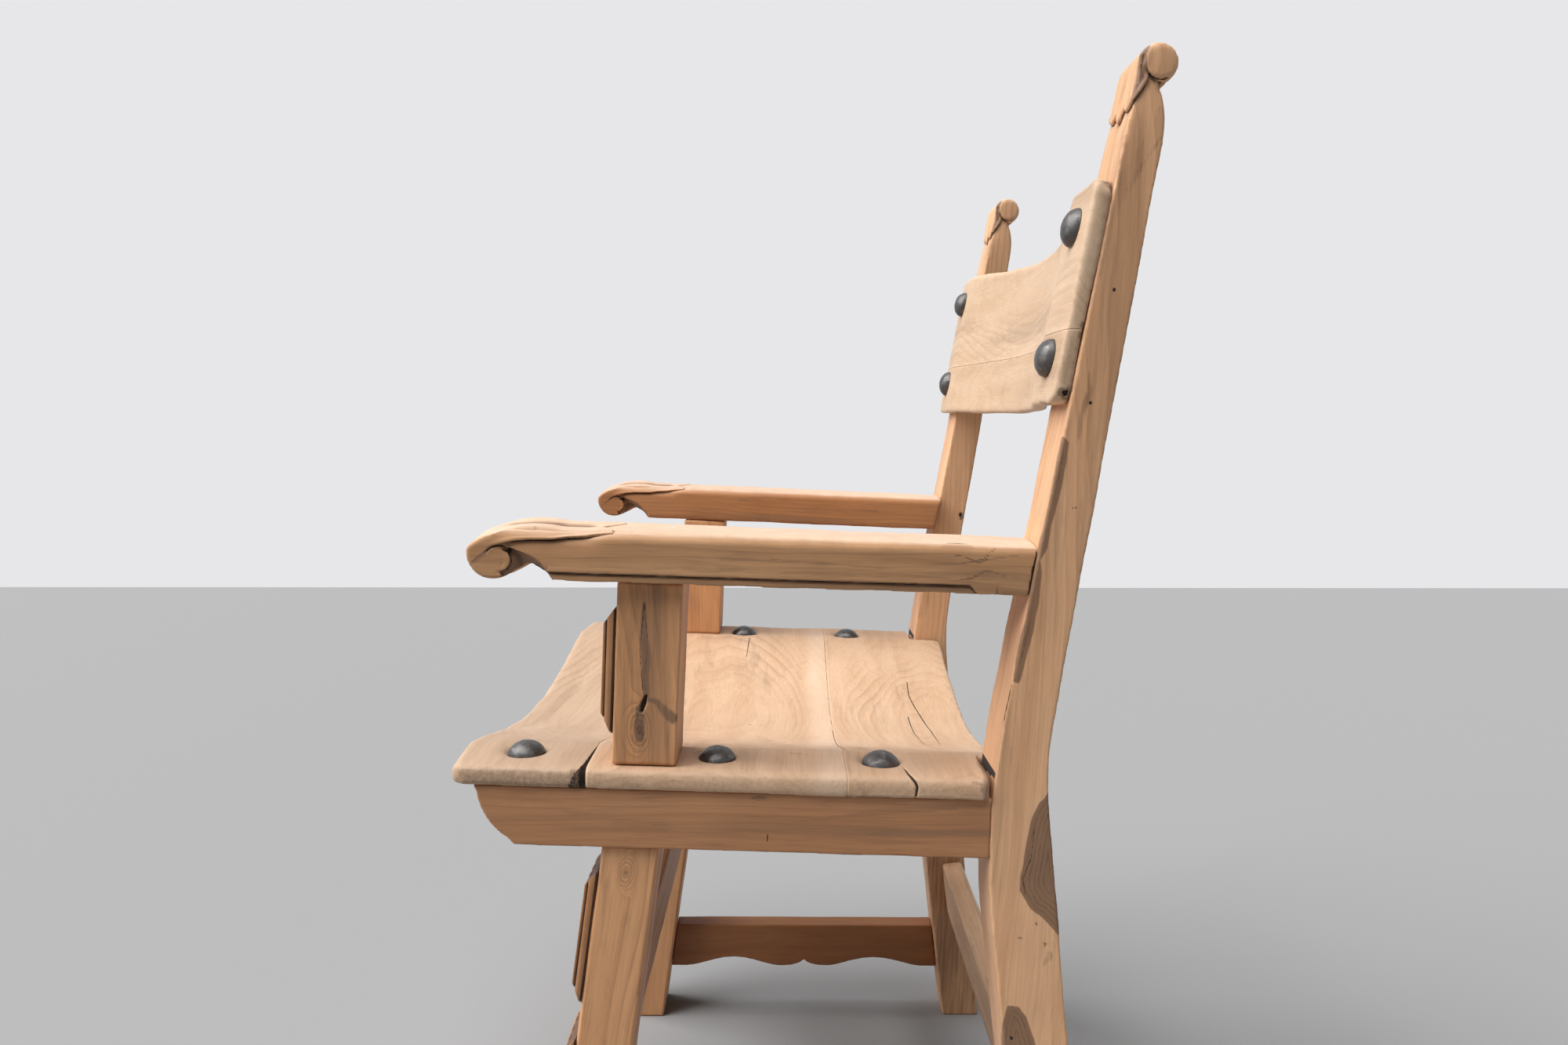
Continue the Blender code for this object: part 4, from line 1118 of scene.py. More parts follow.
def iron_material(finish: IronFinish) -> bpy.types.Material:
    """Makes the material of the iron nails.

    Args:
        finish: The iron's colours.

    Returns:
        The material.
    """
    material = bpy.data.materials.new(finish.slot.value)
    material.use_nodes = True
    tree = Wiring(material.node_tree)
    surface = material.node_tree.nodes["Principled BSDF"]
    place = tree.add("ShaderNodeTexCoord").outputs["Object"]
    cloud = tree.noise(place, (130.0, 130.0, 130.0), 5.0, 0.65).outputs["Fac"]
    grit = tree.noise(place, (900.0, 900.0, 900.0), 3.0, 0.6).outputs["Fac"]
    scratch = tree.noise(place, (160.0, 1400.0, 420.0), 2.0, 0.5, 0.6).outputs["Fac"]
    worn = tree.times(tree.ease(cloud, 0.5, 0.72), tree.ease(grit, 0.3, 0.62))
    scored = tree.ease(scratch, 0.66, 0.74)
    scuffed = tree.maths("MAXIMUM", tree.times(worn, 0.7), tree.times(scored, 0.3))
    rusty = tree.times(tree.ease(cloud, 0.46, 0.3), 0.55)
    tint = tree.mix(rusty, finish.black, finish.rust)
    tint = tree.mix(scuffed, tint, finish.bare)
    tree.feed(surface.inputs["Base Color"], tint)
    rough = tree.plus(finish.roughness - 0.08, tree.times(grit, 0.22))
    tree.feed(surface.inputs["Roughness"], tree.plus(rough, tree.times(rusty, 0.2)))
    surface.inputs["Metallic"].default_value = 0.65
    bump = tree.add("ShaderNodeBump")
    bump.inputs["Strength"].default_value = 0.35
    bump.inputs["Distance"].default_value = 0.0004
    tree.feed(bump.inputs["Height"], tree.plus(cloud, tree.times(grit, 0.4)))
    tree.feed(surface.inputs["Normal"], bump.outputs["Normal"])
    material.diffuse_color = rgba(finish.black)
    return material


@dataclass
class BackPosts:
    """The two back posts, with a scroll and a leaf of three fingers carved at the top.

    Attributes:
        middle: X of a post's middle.
        half: Half the post's width.
        knee: Y and Z where the front turns.
        slope: How far the front runs back for each metre above the knee.
        scroll: Y and Z of the scroll's middle.
        scroll_radius: Its radius.
        carved_above: Height above which the post is carved.
        voxel: Mesh size.
        leaf: Outline of the carved leaf.
        facet: Outline of the facet in front of the scroll, as Y and Z.
        hearts: Outlines of the heartwood on the left post, as Y and Z.
        left_marks: Marks of the left post.
        right_marks: Marks of the right post.
    """

    middle: float = 0.25625
    half: float = 0.02675
    knee: Flat = (0.1388, 0.45)
    slope: float = 0.18173
    scroll: Flat = (0.2557, 1.006)
    scroll_radius: float = 0.0113
    carved_above: float = 0.952
    voxel: float = 0.0022
    leaf: tuple[Flat, ...] = (
        (0.0, 0.971), (0.004, 0.9735), (0.0085, 0.9815), (0.012, 0.9772), (0.0165, 0.9755), (0.022, 0.977),
        (0.0268, 0.9803), (0.0284, 0.9823), (0.0316, 0.9864), (0.0337, 0.9908), (0.0352, 0.995), (0.0352, 0.9983),
        (0.0389, 0.9958), (0.0445, 0.9934), (0.0467, 0.9907), (0.06, 0.985), (0.09, 1.04), (0.0, 1.04),
    )
    facet: tuple[Flat, ...] = (
        (0.247, 1.0185), (0.2435, 1.0155), (0.2395, 1.0105), (0.2362, 1.0026), (0.2345, 0.9947), (0.2336, 0.9895),
        (0.2338, 0.98), (0.2347, 0.979), (0.2368, 0.9823), (0.2419, 0.9882), (0.2462, 0.9944), (0.247, 0.9988),
        (0.2449, 1.005), (0.2452, 1.0114), (0.248, 1.0176),
    )
    hearts: tuple[tuple[Flat, ...], ...] = (
        (
            (0.1901, 0.4804), (0.1869, 0.4763), (0.1818, 0.4708), (0.1767, 0.4599), (0.1731, 0.4434),
            (0.1708, 0.4283),
            (0.168, 0.4131), (0.1682, 0.402), (0.1728, 0.3937), (0.177, 0.3867), (0.1838, 0.3826), (0.192, 0.3742),
            (0.2016, 0.3644), (0.2126, 0.3798), (0.209, 0.4145), (0.204, 0.4558),
        ),
        (
            (0.16, 0.3115), (0.1679, 0.3101), (0.1748, 0.3023), (0.1791, 0.2924), (0.1834, 0.2784), (0.185, 0.25),
            (0.175, 0.23), (0.16, 0.245), (0.1563, 0.2795), (0.1567, 0.2952),
        ),
        (
            (0.1746, 0.67), (0.1791, 0.6446), (0.1779, 0.6232), (0.1748, 0.599), (0.1711, 0.5855), (0.1683, 0.5746),
            (0.165, 0.5604), (0.1606, 0.5631), (0.1617, 0.5787), (0.1639, 0.5963), (0.1681, 0.6098), (0.1703, 0.6259),
        ),
        (
            (0.1918, 0.7448), (0.197, 0.74), (0.195, 0.7226), (0.192, 0.7042), (0.1855, 0.6792), (0.1833, 0.6633),
            (0.1757, 0.65), (0.1769, 0.6646), (0.1802, 0.6805), (0.1861, 0.7121),
        ),
    )
    left_marks: tuple[Mark, ...] = (
        stain((0.283, 0.2552, 0.9742), (0.283, 0.248, 0.9527), (0.283, 0.234, 0.9273), (0.283, 0.2215, 0.9),
              (0.283, 0.212, 0.862), width=(4.0, 9.0, 6.0), strength=0.42),
        stain((0.283, 0.2562, 0.9545), (0.283, 0.2485, 0.9427), (0.283, 0.2396, 0.9283), (0.283, 0.2345, 0.9178),
              width=(1.4, 2.4, 2.0), strength=0.6),
        stain((0.283, 0.2088, 0.7941), (0.283, 0.2104, 0.7772), (0.283, 0.2052, 0.7586), (0.283, 0.2039, 0.7422),
              width=(1.0, 3.4, 2.0), strength=0.7),
        stain((0.283, 0.1813, 0.3758), (0.283, 0.1813, 0.3754), width=(1.6, 2.0, 1.6), strength=1.0),
        stain((0.283, 0.168, 0.3648), (0.283, 0.1715, 0.3644), width=(0.8, 1.4, 0.8), strength=1.0),
        stain((0.283, 0.187, 0.359), (0.283, 0.1905, 0.3587), width=(1.0, 2.0, 1.0), strength=1.0),
        stain((0.283, 0.1915, 0.353), (0.283, 0.1925, 0.35), (0.283, 0.188, 0.343),
              width=(2.0, 4.0, 2.0), strength=0.6),
        crack((0.283, 0.164, 0.2848), (0.283, 0.1648, 0.2828), width=(0.6, 1.3, 0.6)),
        crack((0.283, 0.1587, 0.56), (0.283, 0.1549, 0.5457), (0.283, 0.1517, 0.532), width=(0.1, 0.25, 0.05)),
        crack((0.283, 0.1786, 0.4506), (0.283, 0.1762, 0.4262), (0.283, 0.1704, 0.4108), (0.283, 0.1727, 0.3985),
              width=(0.02, 0.1, 0.02)),
        crack((0.283, 0.2264, 0.8488), (0.283, 0.2264, 0.8484), width=(1.0, 1.1, 1.0)),
        crack((0.283, 0.2117, 0.7684), (0.283, 0.2117, 0.768), width=(0.9, 1.0, 0.9)),
        crack((0.283, 0.2008, 0.6919), (0.283, 0.201, 0.6917), width=(0.3, 0.4, 0.3)),
        crack((0.283, 0.203, 0.6921), (0.283, 0.2032, 0.6919), width=(0.3, 0.4, 0.3)),
    )
    right_marks: tuple[Mark, ...] = (
        stain((-0.2295, 0.2033, 0.6434), (-0.2295, 0.204, 0.638), width=(2.0, 4.0, 2.0), strength=1.0),
        crack((-0.2295, 0.203, 0.6445), (-0.2295, 0.2038, 0.6405), width=(0.6, 1.6, 0.4), depth=0.0015),
        stain((-0.2295, 0.16, 0.56), (-0.2295, 0.156, 0.52), width=(6.0, 12.0, CLEAR), strength=0.45),
        stain((-0.283, 0.18, 0.47), (-0.283, 0.184, 0.42), (-0.283, 0.189, 0.38),
              width=(3.0, 7.0, 3.0), strength=0.8),
        stain((-0.283, 0.225, 0.88), (-0.283, 0.205, 0.78), (-0.283, 0.19, 0.69),
              width=(2.0, 5.0, 2.0), strength=0.6),
    )

    def front(self, z: np.ndarray) -> np.ndarray:
        """Returns Y of a post's front at a height above the knee."""
        return self.knee[0] + (z - self.knee[1]) * self.slope

    def _local(self, post: Timber, side: Side) -> tuple[np.ndarray, np.ndarray, np.ndarray]:
        """Returns each point's place across the post, its Y and its height."""
        return side.value * post.points[:, 0] - self.middle, post.points[:, 1].copy(), post.points[:, 2].copy()

    def _leaf_distance(self, across: np.ndarray, y: np.ndarray, z: np.ndarray) -> np.ndarray:
        """Returns the distance from the leaf's edge, negative on the leaf, along the post's wrapped surface."""
        wrap = np.abs(across) + np.clip(y - self.front(z), 0.0, None)
        return outline_distance(np.column_stack((wrap, z)), self.leaf)

    def carve(self, post: Timber, side: Side) -> np.ndarray:
        """Cuts the leaf and the scroll, and paints old finish and shade in the low places.

        Args:
            post: The post.
            side: Which post it is.

        Returns:
            Each point's distance from the dark lines of the carving, painted partly as old finish and partly as shadow,
            in millimetres.
        """
        post.refine(post.points[:, 2] > self.carved_above)
        post.soften(1, smoothstep(self.carved_above, self.carved_above + 0.01, post.points[:, 2]))
        across, y, z = self._local(post, side)
        post.refine((z > self.carved_above) & (np.abs(self._leaf_distance(across, y, z) - 0.0007) < 0.0022))
        across, y, z = self._local(post, side)
        behind = y - self.front(z)
        top = smoothstep(self.carved_above + 0.002, self.carved_above + 0.012, z)
        away = self._leaf_distance(across, y, z)
        ground = np.where(away > 0.0, np.exp(-np.clip(away, 0.0, None) / 0.0065), 0.0)
        depth = -0.0024 * ground * smoothstep(-0.0002, 0.0006, away)
        depth += 0.0009 * smoothstep(0.0, 0.0015, -away)
        fore = smoothstep(0.008, 0.003, behind) * smoothstep(0.974, 0.982, z) * smoothstep(1.017, 1.008, z)
        flutes = np.zeros(len(y))
        for place, deep, wide in ((0.0085, 1.0, 0.0014), (0.0, 0.45, 0.002), (0.0175, 0.45, 0.002)):
            flutes += deep * fore * np.exp(-(((np.abs(across) - place) / wide) ** 2))
        depth -= 0.002 * flutes
        flank = smoothstep(self.half - 0.006, self.half - 0.003, np.abs(across))
        inside = -outline_distance(np.column_stack((y, z)), self.facet)
        depth -= 0.003 * flank * smoothstep(0.0, 0.0038, inside)
        from_eye = np.hypot(y - self.scroll[0], z - self.scroll[1]) - self.scroll_radius
        angle = np.degrees(np.arctan2(z - self.scroll[1], y - self.scroll[0])) % 360.0
        under = smoothstep(178.0, 212.0, angle) * smoothstep(318.0, 285.0, angle)
        depth -= 0.002 * flank * np.exp(-((from_eye / 0.0012) ** 2)) * under
        dome = np.clip(1.0 - (from_eye + self.scroll_radius) / self.scroll_radius, 0.0, 1.0)
        depth += 0.0006 * flank * np.sqrt(dome)
        post.push(top * depth)
        # The dark lines along the leaf and round the scroll are painted partly as old finish and partly as shadow.
        lines = np.abs(away - 0.0007) / MILLIMETRE - np.interp(z, (0.968, 0.975, 0.99, 0.999), (0.1, 0.25, 0.3, -0.6))
        ring = np.abs(from_eye) / MILLIMETRE - (0.95 * under - 0.7)
        lines = np.minimum(lines, np.where(flank > 0.5, ring, CLEAR))
        # Old finish and painted shade in the facet, the flutes and round the leaf.
        post.soil = top * np.maximum(1.1 * flank * smoothstep(-0.0004, 0.0009, inside), 0.75 * np.clip(flutes, 0.0, 1.0))
        post.soil = np.maximum(post.soil, 0.7 * top * ground * smoothstep(1.0005, 0.996, z))
        return np.where(top > 0.5, lines, CLEAR)

    def build(self) -> None:
        """Builds and dresses both posts."""
        for side, marks in ((Side.LEFT, self.left_marks), (Side.RIGHT, self.right_marks)):
            post = Timber.remeshed((f"back_post_{side.word}",), self.voxel)
            post.soften(1)
            post.crisp(self.carved_above)
            post.refine_along(marks)
            lines = self.carve(post, side)
            post.uneven(0.00035, 0.06, 11 + side.value)
            post.open_cracks(marks)
            post.cracks = np.minimum(post.cracks, lines)
            across, y, z = self._local(post, side)
            # The front face hidden behind the seat is painted black as shade in the narrow gap.
            behind_seat = (
                (y - self.front(z) < 0.0025)
                & (np.abs(across) < self.half - 0.0025)
                & (np.abs(z - 0.483) < 0.0095)
            )
            post.cracks[behind_seat] = -1.0
            if side is Side.RIGHT:
                # The far post is painted darker towards the bottom, as shade under the seat.
                post.soil = np.maximum(post.soil, 0.5 * smoothstep(0.56, 0.3, post.points[:, 2]))
            else:
                places = post.points[:, 1:]
                depth = self.half - (post.points[:, 0] - self.middle)
                inside = np.max([-outline_distance(places, heart) for heart in self.hearts], axis=0)
                post.heart = np.clip((inside - 0.2 * depth) / MILLIMETRE, -8.0, 40.0)
            grain = Grain((0.012 * side.value, 0.05, 1.0), (-0.075 * side.value, 0.05, 0.0))
            post.dress(LIT_POST_WOOD, grain, marks)


@dataclass
class Arms:
    """The two arms, each with a rolled scroll under a leaf of three fingers.

    Attributes:
        middle: X of an arm's middle where it meets the post.
        splay: How far the arm runs outwards for each metre forwards.
        meets: Y where the arm meets the post.
        underside: Height of the underside at Y of 0.
        fall: How far the underside drops for each metre backwards.
        half: Half the arm's width.
        height: Height of the arm.
        eye: Y and height above the underside of the scroll's eye.
        eye_radius: Its radius.
        worn_down: How far the top is worn down.
        crown_fall: How far the top falls towards its edges.
        rebate_depth: Depth of the rebate along the lower edge.
        carved_before: Y in front of which the arm is carved.
        voxel: Mesh size.
        leaf: Outline of the carved leaf.
        left_marks: Marks of the left arm.
        right_marks: Marks of the right arm.
    """

    middle: float = 0.247
    splay: float = 0.0384
    meets: float = 0.1704
    underside: float = 0.6326
    fall: float = 0.03772
    half: float = 0.034
    height: float = 0.042
    eye: Flat = (-0.2168, 0.0149)
    eye_radius: float = 0.0094
    sawn_depth: float = 0.0086
    hollow_depth: float = 0.0076
    worn_down: float = 0.0025
    crown_fall: float = 0.004
    top_round: float = 0.006
    rebate_depth: float = 0.0021
    carved_before: float = -0.112
    voxel: float = 0.0018
    leaf: tuple[Flat, ...] = (
        (-0.28, 0.0), (-0.1285, 0.0), (-0.131, 0.006), (-0.1375, 0.015), (-0.144, 0.0205), (-0.1368, 0.0265),
        (-0.1346, 0.032), (-0.135, 0.0363), (-0.1403, 0.0372), (-0.1495, 0.0389), (-0.153, 0.0402),
        (-0.1601, 0.0415), (-0.1672, 0.0424), (-0.1707, 0.0436), (-0.1772, 0.0453), (-0.1828, 0.0455),
        (-0.1956, 0.046), (-0.2055, 0.0471), (-0.2155, 0.0496), (-0.222, 0.052), (-0.2281, 0.0562), (-0.28, 0.1),
    )
    cove: tuple[Flat, ...] = (
        (-0.2148, 0.0253), (-0.2113, 0.0251), (-0.2057, 0.0228), (-0.1994, 0.0202), (-0.1916, 0.0169),
        (-0.1867, 0.0135), (-0.1819, 0.008), (-0.1791, 0.006), (-0.176, -0.006),
    )
    sawn: tuple[Flat, ...] = (
        (-0.2187, 0.0243), (-0.2148, 0.0222), (-0.2124, 0.019), (-0.2114, 0.0148), (-0.212, 0.0114),
        (-0.2137, 0.0085),
        (-0.199, -0.003), (-0.179, -0.003), (-0.1972, 0.0162),
    )
    rebate: tuple[Flat, ...] = ((-0.1815, 0.0066), (-0.1, 0.0067), (0.127, 0.0068), (0.135, -0.0015))
    left_marks: tuple[Mark, ...] = (
        stain((0.288, -0.02, 0.655), (0.285, 0.06, 0.648), (0.2828, 0.1189, 0.6509), (0.2818, 0.1444, 0.6543),
              (0.2811, 0.1646, 0.6577), width=(0.6, 1.6, 0.8), strength=0.6),
        stain((0.292, -0.11, 0.658), (0.289, -0.04, 0.6545), (0.286, 0.03, 0.65),
              width=(0.5, 1.4, 0.5), strength=0.55),
        stain((0.293, -0.14, 0.667), (0.29, -0.07, 0.665), (0.287, 0.0, 0.6625), (0.285, 0.06, 0.661),
              width=(0.5, 1.8, 0.6), strength=0.5),
        crack((0.28, 0.11, 0.672), (0.279, 0.126, 0.6715), width=(0.1, 0.4, 0.1)),
        crack((0.2815, 0.1773, 0.6647), (0.2815, 0.175, 0.6498), (0.2815, 0.1715, 0.6273), width=(0.2, 0.6, 0.4)),
        stain((0.2828, 0.1203, 0.6512), (0.2825, 0.1282, 0.6523), (0.2822, 0.1361, 0.6541), (0.282, 0.1413, 0.6579),
              (0.2818, 0.1458, 0.6635), width=(0.3, 0.8, 0.4), strength=1.1),
        stain((0.2828, 0.1179, 0.6385), (0.2825, 0.1284, 0.64), (0.2822, 0.1376, 0.6452), (0.282, 0.1442, 0.6445),
              (0.2816, 0.1535, 0.641), width=(0.4, 1.2, 0.4), strength=1.1),
        stain((0.283, 0.1122, 0.6578), (0.2826, 0.1228, 0.6559), (0.2823, 0.1335, 0.6512), (0.282, 0.1427, 0.6552),
              width=(0.3, 0.9, 0.3), strength=1.0),
    )
    right_marks: tuple[Mark, ...] = (
        stain((-0.219, -0.08, 0.656), (-0.216, 0.0, 0.65), (-0.213, 0.1, 0.648),
              width=(1.0, 5.0, 3.0), strength=0.5),
        stain((-0.225, -0.2, 0.655), (-0.223, -0.15, 0.658), width=(3.0, 6.0, 3.0), strength=0.4),
    )

    def _local(self, arm: Timber, side: Side) -> tuple[np.ndarray, np.ndarray, np.ndarray]:
        """Returns Y, the height above the underside, and the place across the arm, outwards from its middle."""
        y = arm.points[:, 1].copy()
        rise = arm.points[:, 2] - (self.underside - self.fall * y)
        across = side.value * arm.points[:, 0] - (self.middle + self.splay * (self.meets - y))
        return y, rise, across

    def _crown(self, arm: Timber, side: Side) -> None:
        """Crowns the top and rounds the two upper edges that hands rest on.

        Args:
            arm: The arm.
            side: Which arm it is.
        """
        _, rise, across = self._local(arm, side)
        fall = self.worn_down + self.crown_fall * (across / self.half) ** 2
        arm.points[:, 2] -= fall * smoothstep(0.018, 0.036, rise)
        _, rise, across = self._local(arm, side)
        roof = self.height + 0.0006 - self.worn_down - self.crown_fall * (across / self.half) ** 2
        out = np.abs(across) - (self.half - self.top_round)
        over = rise - (roof - self.top_round)
        reach = np.hypot(np.clip(out, 0.0, None), np.clip(over, 0.0, None))
        outside = (out > 0.0) & (over > 0.0) & (reach > self.top_round)
        shrink = np.where(outside, self.top_round / np.maximum(reach, 1e-9), 1.0) - 1.0
        arm.points[:, 0] += side.value * np.sign(across) * np.where(outside, out * shrink, 0.0)
        arm.points[:, 2] += np.where(outside, over * shrink, 0.0)

    def _hollow(self, y: np.ndarray, rise: np.ndarray) -> np.ndarray:
        """Returns how deep the cove behind the eye lies at places of the side view, with the roll round the eye."""
        flat = np.column_stack((y, rise))
        away, _ = line_distance(flat, self.cove)
        outline = self.cove + ((-0.2137, -0.006), self.eye)
        from_eye = np.hypot(y - self.eye[0], rise - self.eye[1]) - self.eye_radius
        cove = self.hollow_depth * (1.0 - np.exp(-away / 0.0042)) * inside_outline(flat, outline)
        return np.where(from_eye > 0.0, np.minimum(cove, 0.0024 + 0.8 * np.clip(from_eye, 0.0, None)), 0.0)

    def _carve_flanks(self, arm: Timber, side: Side) -> None:
        """Turns the CAD model's flat hollow into a cove, and cuts the rebate with its quirk.

        Args:
            arm: The arm.
            side: Which arm it is.
        """
        y, rise, across = self._local(arm, side)
        flat = np.column_stack((y, rise))
        sunk = self.half - np.abs(across)
        region = (outline_distance(flat, self.sawn) < 0.0013) | (self._hollow(y, rise) > 0.0)
        region &= (sunk < self.sawn_depth) & (sunk > -0.001)
        target = np.where(region, self._hollow(y, rise), sunk)
        edge = np.interp(y, [place[0] for place in self.rebate], [place[1] for place in self.rebate])
        strip = (across > self.half - 0.0048) & (rise < 0.0105) & (y > self.rebate[0][0]) & (y < self.rebate[-1][0] + 0.012)
        below = smoothstep(0.0003, -0.0003, rise - edge)
        quirk = below * smoothstep(0.0024, 0.0018, edge - rise)
        target = np.where(strip, self.rebate_depth * below + 0.0009 * quirk, target)
        arm.points[:, 0] += side.value * np.sign(across) * (sunk - target)
        arm.soften(2, (region | strip).astype(float) * 0.6)

    def _leaf_distance(self, y: np.ndarray, rise: np.ndarray, across: np.ndarray) -> np.ndarray:
        """Returns the distance from the leaf's edge, negative on the leaf, along the arm's wrapped surface."""
        wrap = np.abs(across) + np.clip(self.height - rise, 0.0, None)
        return outline_distance(np.column_stack((y, wrap)), self.leaf)

    def carve(self, arm: Timber, side: Side) -> tuple[np.ndarray, np.ndarray, np.ndarray]:
        """Cuts the leaf, the eye with the cove behind it, and the rebate.

        Args:
            arm: The arm.
            side: Which arm it is.

        Returns:
            Each point's place as it was drawn on the arm before the leaf was cut: Y, height and place across.
        """
        _, rise, across = self._local(arm, side)
        strip = (across > self.half - 0.007) & (rise < 0.013)
        arm.refine((arm.points[:, 1] < self.carved_before) | strip)
        arm.soften(1)
        self._carve_flanks(arm, side)
        self._crown(arm, side)
        y, rise, across = self._local(arm, side)
        arm.refine((np.abs(self._leaf_distance(y, rise, across) - 0.0009) < 0.002) & (rise > 0.012))
        y, rise, across = self._local(arm, side)
        away = self._leaf_distance(y, rise, across)
        ground = np.exp(-np.clip(away, 0.0, None) / 0.008) * smoothstep(-0.0002, 0.0006, away)
        fade = smoothstep(-0.227, -0.208, y) * smoothstep(0.004, 0.012, rise)
        fade *= 0.24 + 0.76 * smoothstep(-0.133, -0.162, y)
        depth = -0.0034 * ground * fade
        lip = np.exp(-(((away + 0.0013) / 0.0016) ** 2)) * smoothstep(-0.226, -0.21, y) * smoothstep(-0.14, -0.16, y)
        depth += 0.0006 * lip
        depth -= self._flute(y, rise, across) * 0.0026
        lower = smoothstep(0.0115, 0.015, np.abs(across)) * smoothstep(-0.23, -0.208, y) * smoothstep(-0.138, -0.156, y)
        depth -= 0.0012 * lower * smoothstep(0.026, 0.032, rise)
        from_eye = np.hypot(y - self.eye[0], rise - self.eye[1]) - self.eye_radius
        ring = np.exp(-(((from_eye - 0.0004) / 0.0008) ** 2)) * smoothstep(self.half - 0.006, self.half - 0.003, np.abs(across))
        depth -= 0.0012 * ring * self._round_eye(y, rise)
        arm.push(depth)
        return y, rise, across

    def _flute(self, y: np.ndarray, rise: np.ndarray, across: np.ndarray) -> np.ndarray:
        """Returns how much a place lies in the two flutes between the leaf's fingers, 0 to 1."""
        run = smoothstep(-0.226, -0.208, y) * smoothstep(-0.142, -0.156, y) * smoothstep(0.026, 0.032, rise)
        return run * np.exp(-(((np.abs(across) - 0.012) / 0.0028) ** 2))

    def _round_eye(self, y: np.ndarray, rise: np.ndarray) -> np.ndarray:
        """Returns how strongly the line round the eye is cut: all round but for the lower left."""
        angle = np.degrees(np.arctan2(rise - self.eye[1], y - self.eye[0]))
        return smoothstep(-112.0, -70.0, angle) * smoothstep(166.0, 135.0, angle)

    def mark(self, arm: Timber, drawn: tuple[np.ndarray, np.ndarray, np.ndarray], marks: Sequence[Mark]) -> None:
        """Paints dark lines, partly old finish and partly shadow, old finish and painted shade in the low places of the
        carving, and a pale sheen on the top.

        Args:
            arm: The arm, already carved.
            drawn: Each point's place before the leaf was cut.
            marks: Its own cracks and stains.
        """
        arm.open_cracks(marks)
        y, rise, across = drawn
        flank = np.abs(across) > 0.018
        # Dark lines along the leaf, round the eye and at the rebate's quirk, painted partly as old finish and partly as
        # shadow.
        away = self._leaf_distance(y, rise, across)
        thick = np.interp(
            y,
            (-0.226, -0.215, -0.207, -0.18, -0.15, -0.147, -0.133),
            (-1.4, -0.6, 0.15, 0.4, 0.3, 0.0, -0.4),
        )
        thick = np.where(flank, thick, np.where(y > -0.16, -0.18, -8.0))
        lines = np.abs(away - 0.0009) / MILLIMETRE - thick
        from_eye = np.hypot(y - self.eye[0], rise - self.eye[1]) - self.eye_radius
        reach = self._round_eye(y, rise)
        ring = np.abs(from_eye - 0.0005) / MILLIMETRE - (0.75 * reach - 0.6)
        lines = np.minimum(lines, np.where(np.abs(across) > self.half - 0.006, ring, CLEAR))
        edge = np.interp(y, [place[0] for place in self.rebate], [place[1] for place in self.rebate])
        strip = (across > self.half - 0.006) & (y > self.rebate[0][0]) & (y < self.rebate[-1][0])
        lines = np.minimum(lines, np.where(strip, np.abs(edge - rise - 0.001) / MILLIMETRE - 0.05, CLEAR))
        arm.cracks = np.minimum(arm.cracks, lines)
        # Old finish and painted shade in the cove, painted shadow under the leaf's edge, and painted shade in the
        # flutes and on the rebate strip.
        soil = 1.15 * smoothstep(0.0003, 0.0022, self._hollow(y, rise)) * (np.abs(across) > 0.02)
        under = np.exp(-np.clip(away, 0.0, None) / 0.0035) * (away > 0.0) * flank * smoothstep(-0.146, -0.165, y)
        soil = np.maximum(soil, 1.1 * under * smoothstep(0.004, 0.012, rise))
        soil = np.maximum(soil, 1.2 * self._flute(y, rise, across))
        ledge = smoothstep(0.0003, -0.0003, rise - edge)
        arm.soil = np.maximum(soil, strip * ledge * (0.55 + 0.6 * smoothstep(0.0026, 0.0018, edge - rise)))
        # A pale sheen is painted on the upward faces of the arm tops.
        arm.bleach = 0.85 * smoothstep(0.55, 0.97, arm.normals()[:, 2]) * smoothstep(0.02, 0.03, rise)

    def build(self) -> None:
        """Builds and dresses both arms."""
        for side, marks, finish in (
            (Side.LEFT, self.left_marks, WARM_WOOD),
            (Side.RIGHT, self.right_marks, SHADED_FAR_ARM_WOOD),
        ):
            arm = Timber.remeshed((f"arm_{side.word}",), self.voxel)
            arm.soften(2)
            arm.refine_along(marks)
            drawn = self.carve(arm, side)
            arm.uneven(0.0003, 0.05, 21 + side.value)
            self.mark(arm, drawn, marks)
            grain = Grain((-self.splay * side.value, 1.0, -0.028), (-0.06 * side.value, 0.0, -0.045))
            arm.dress(finish, grain, marks)


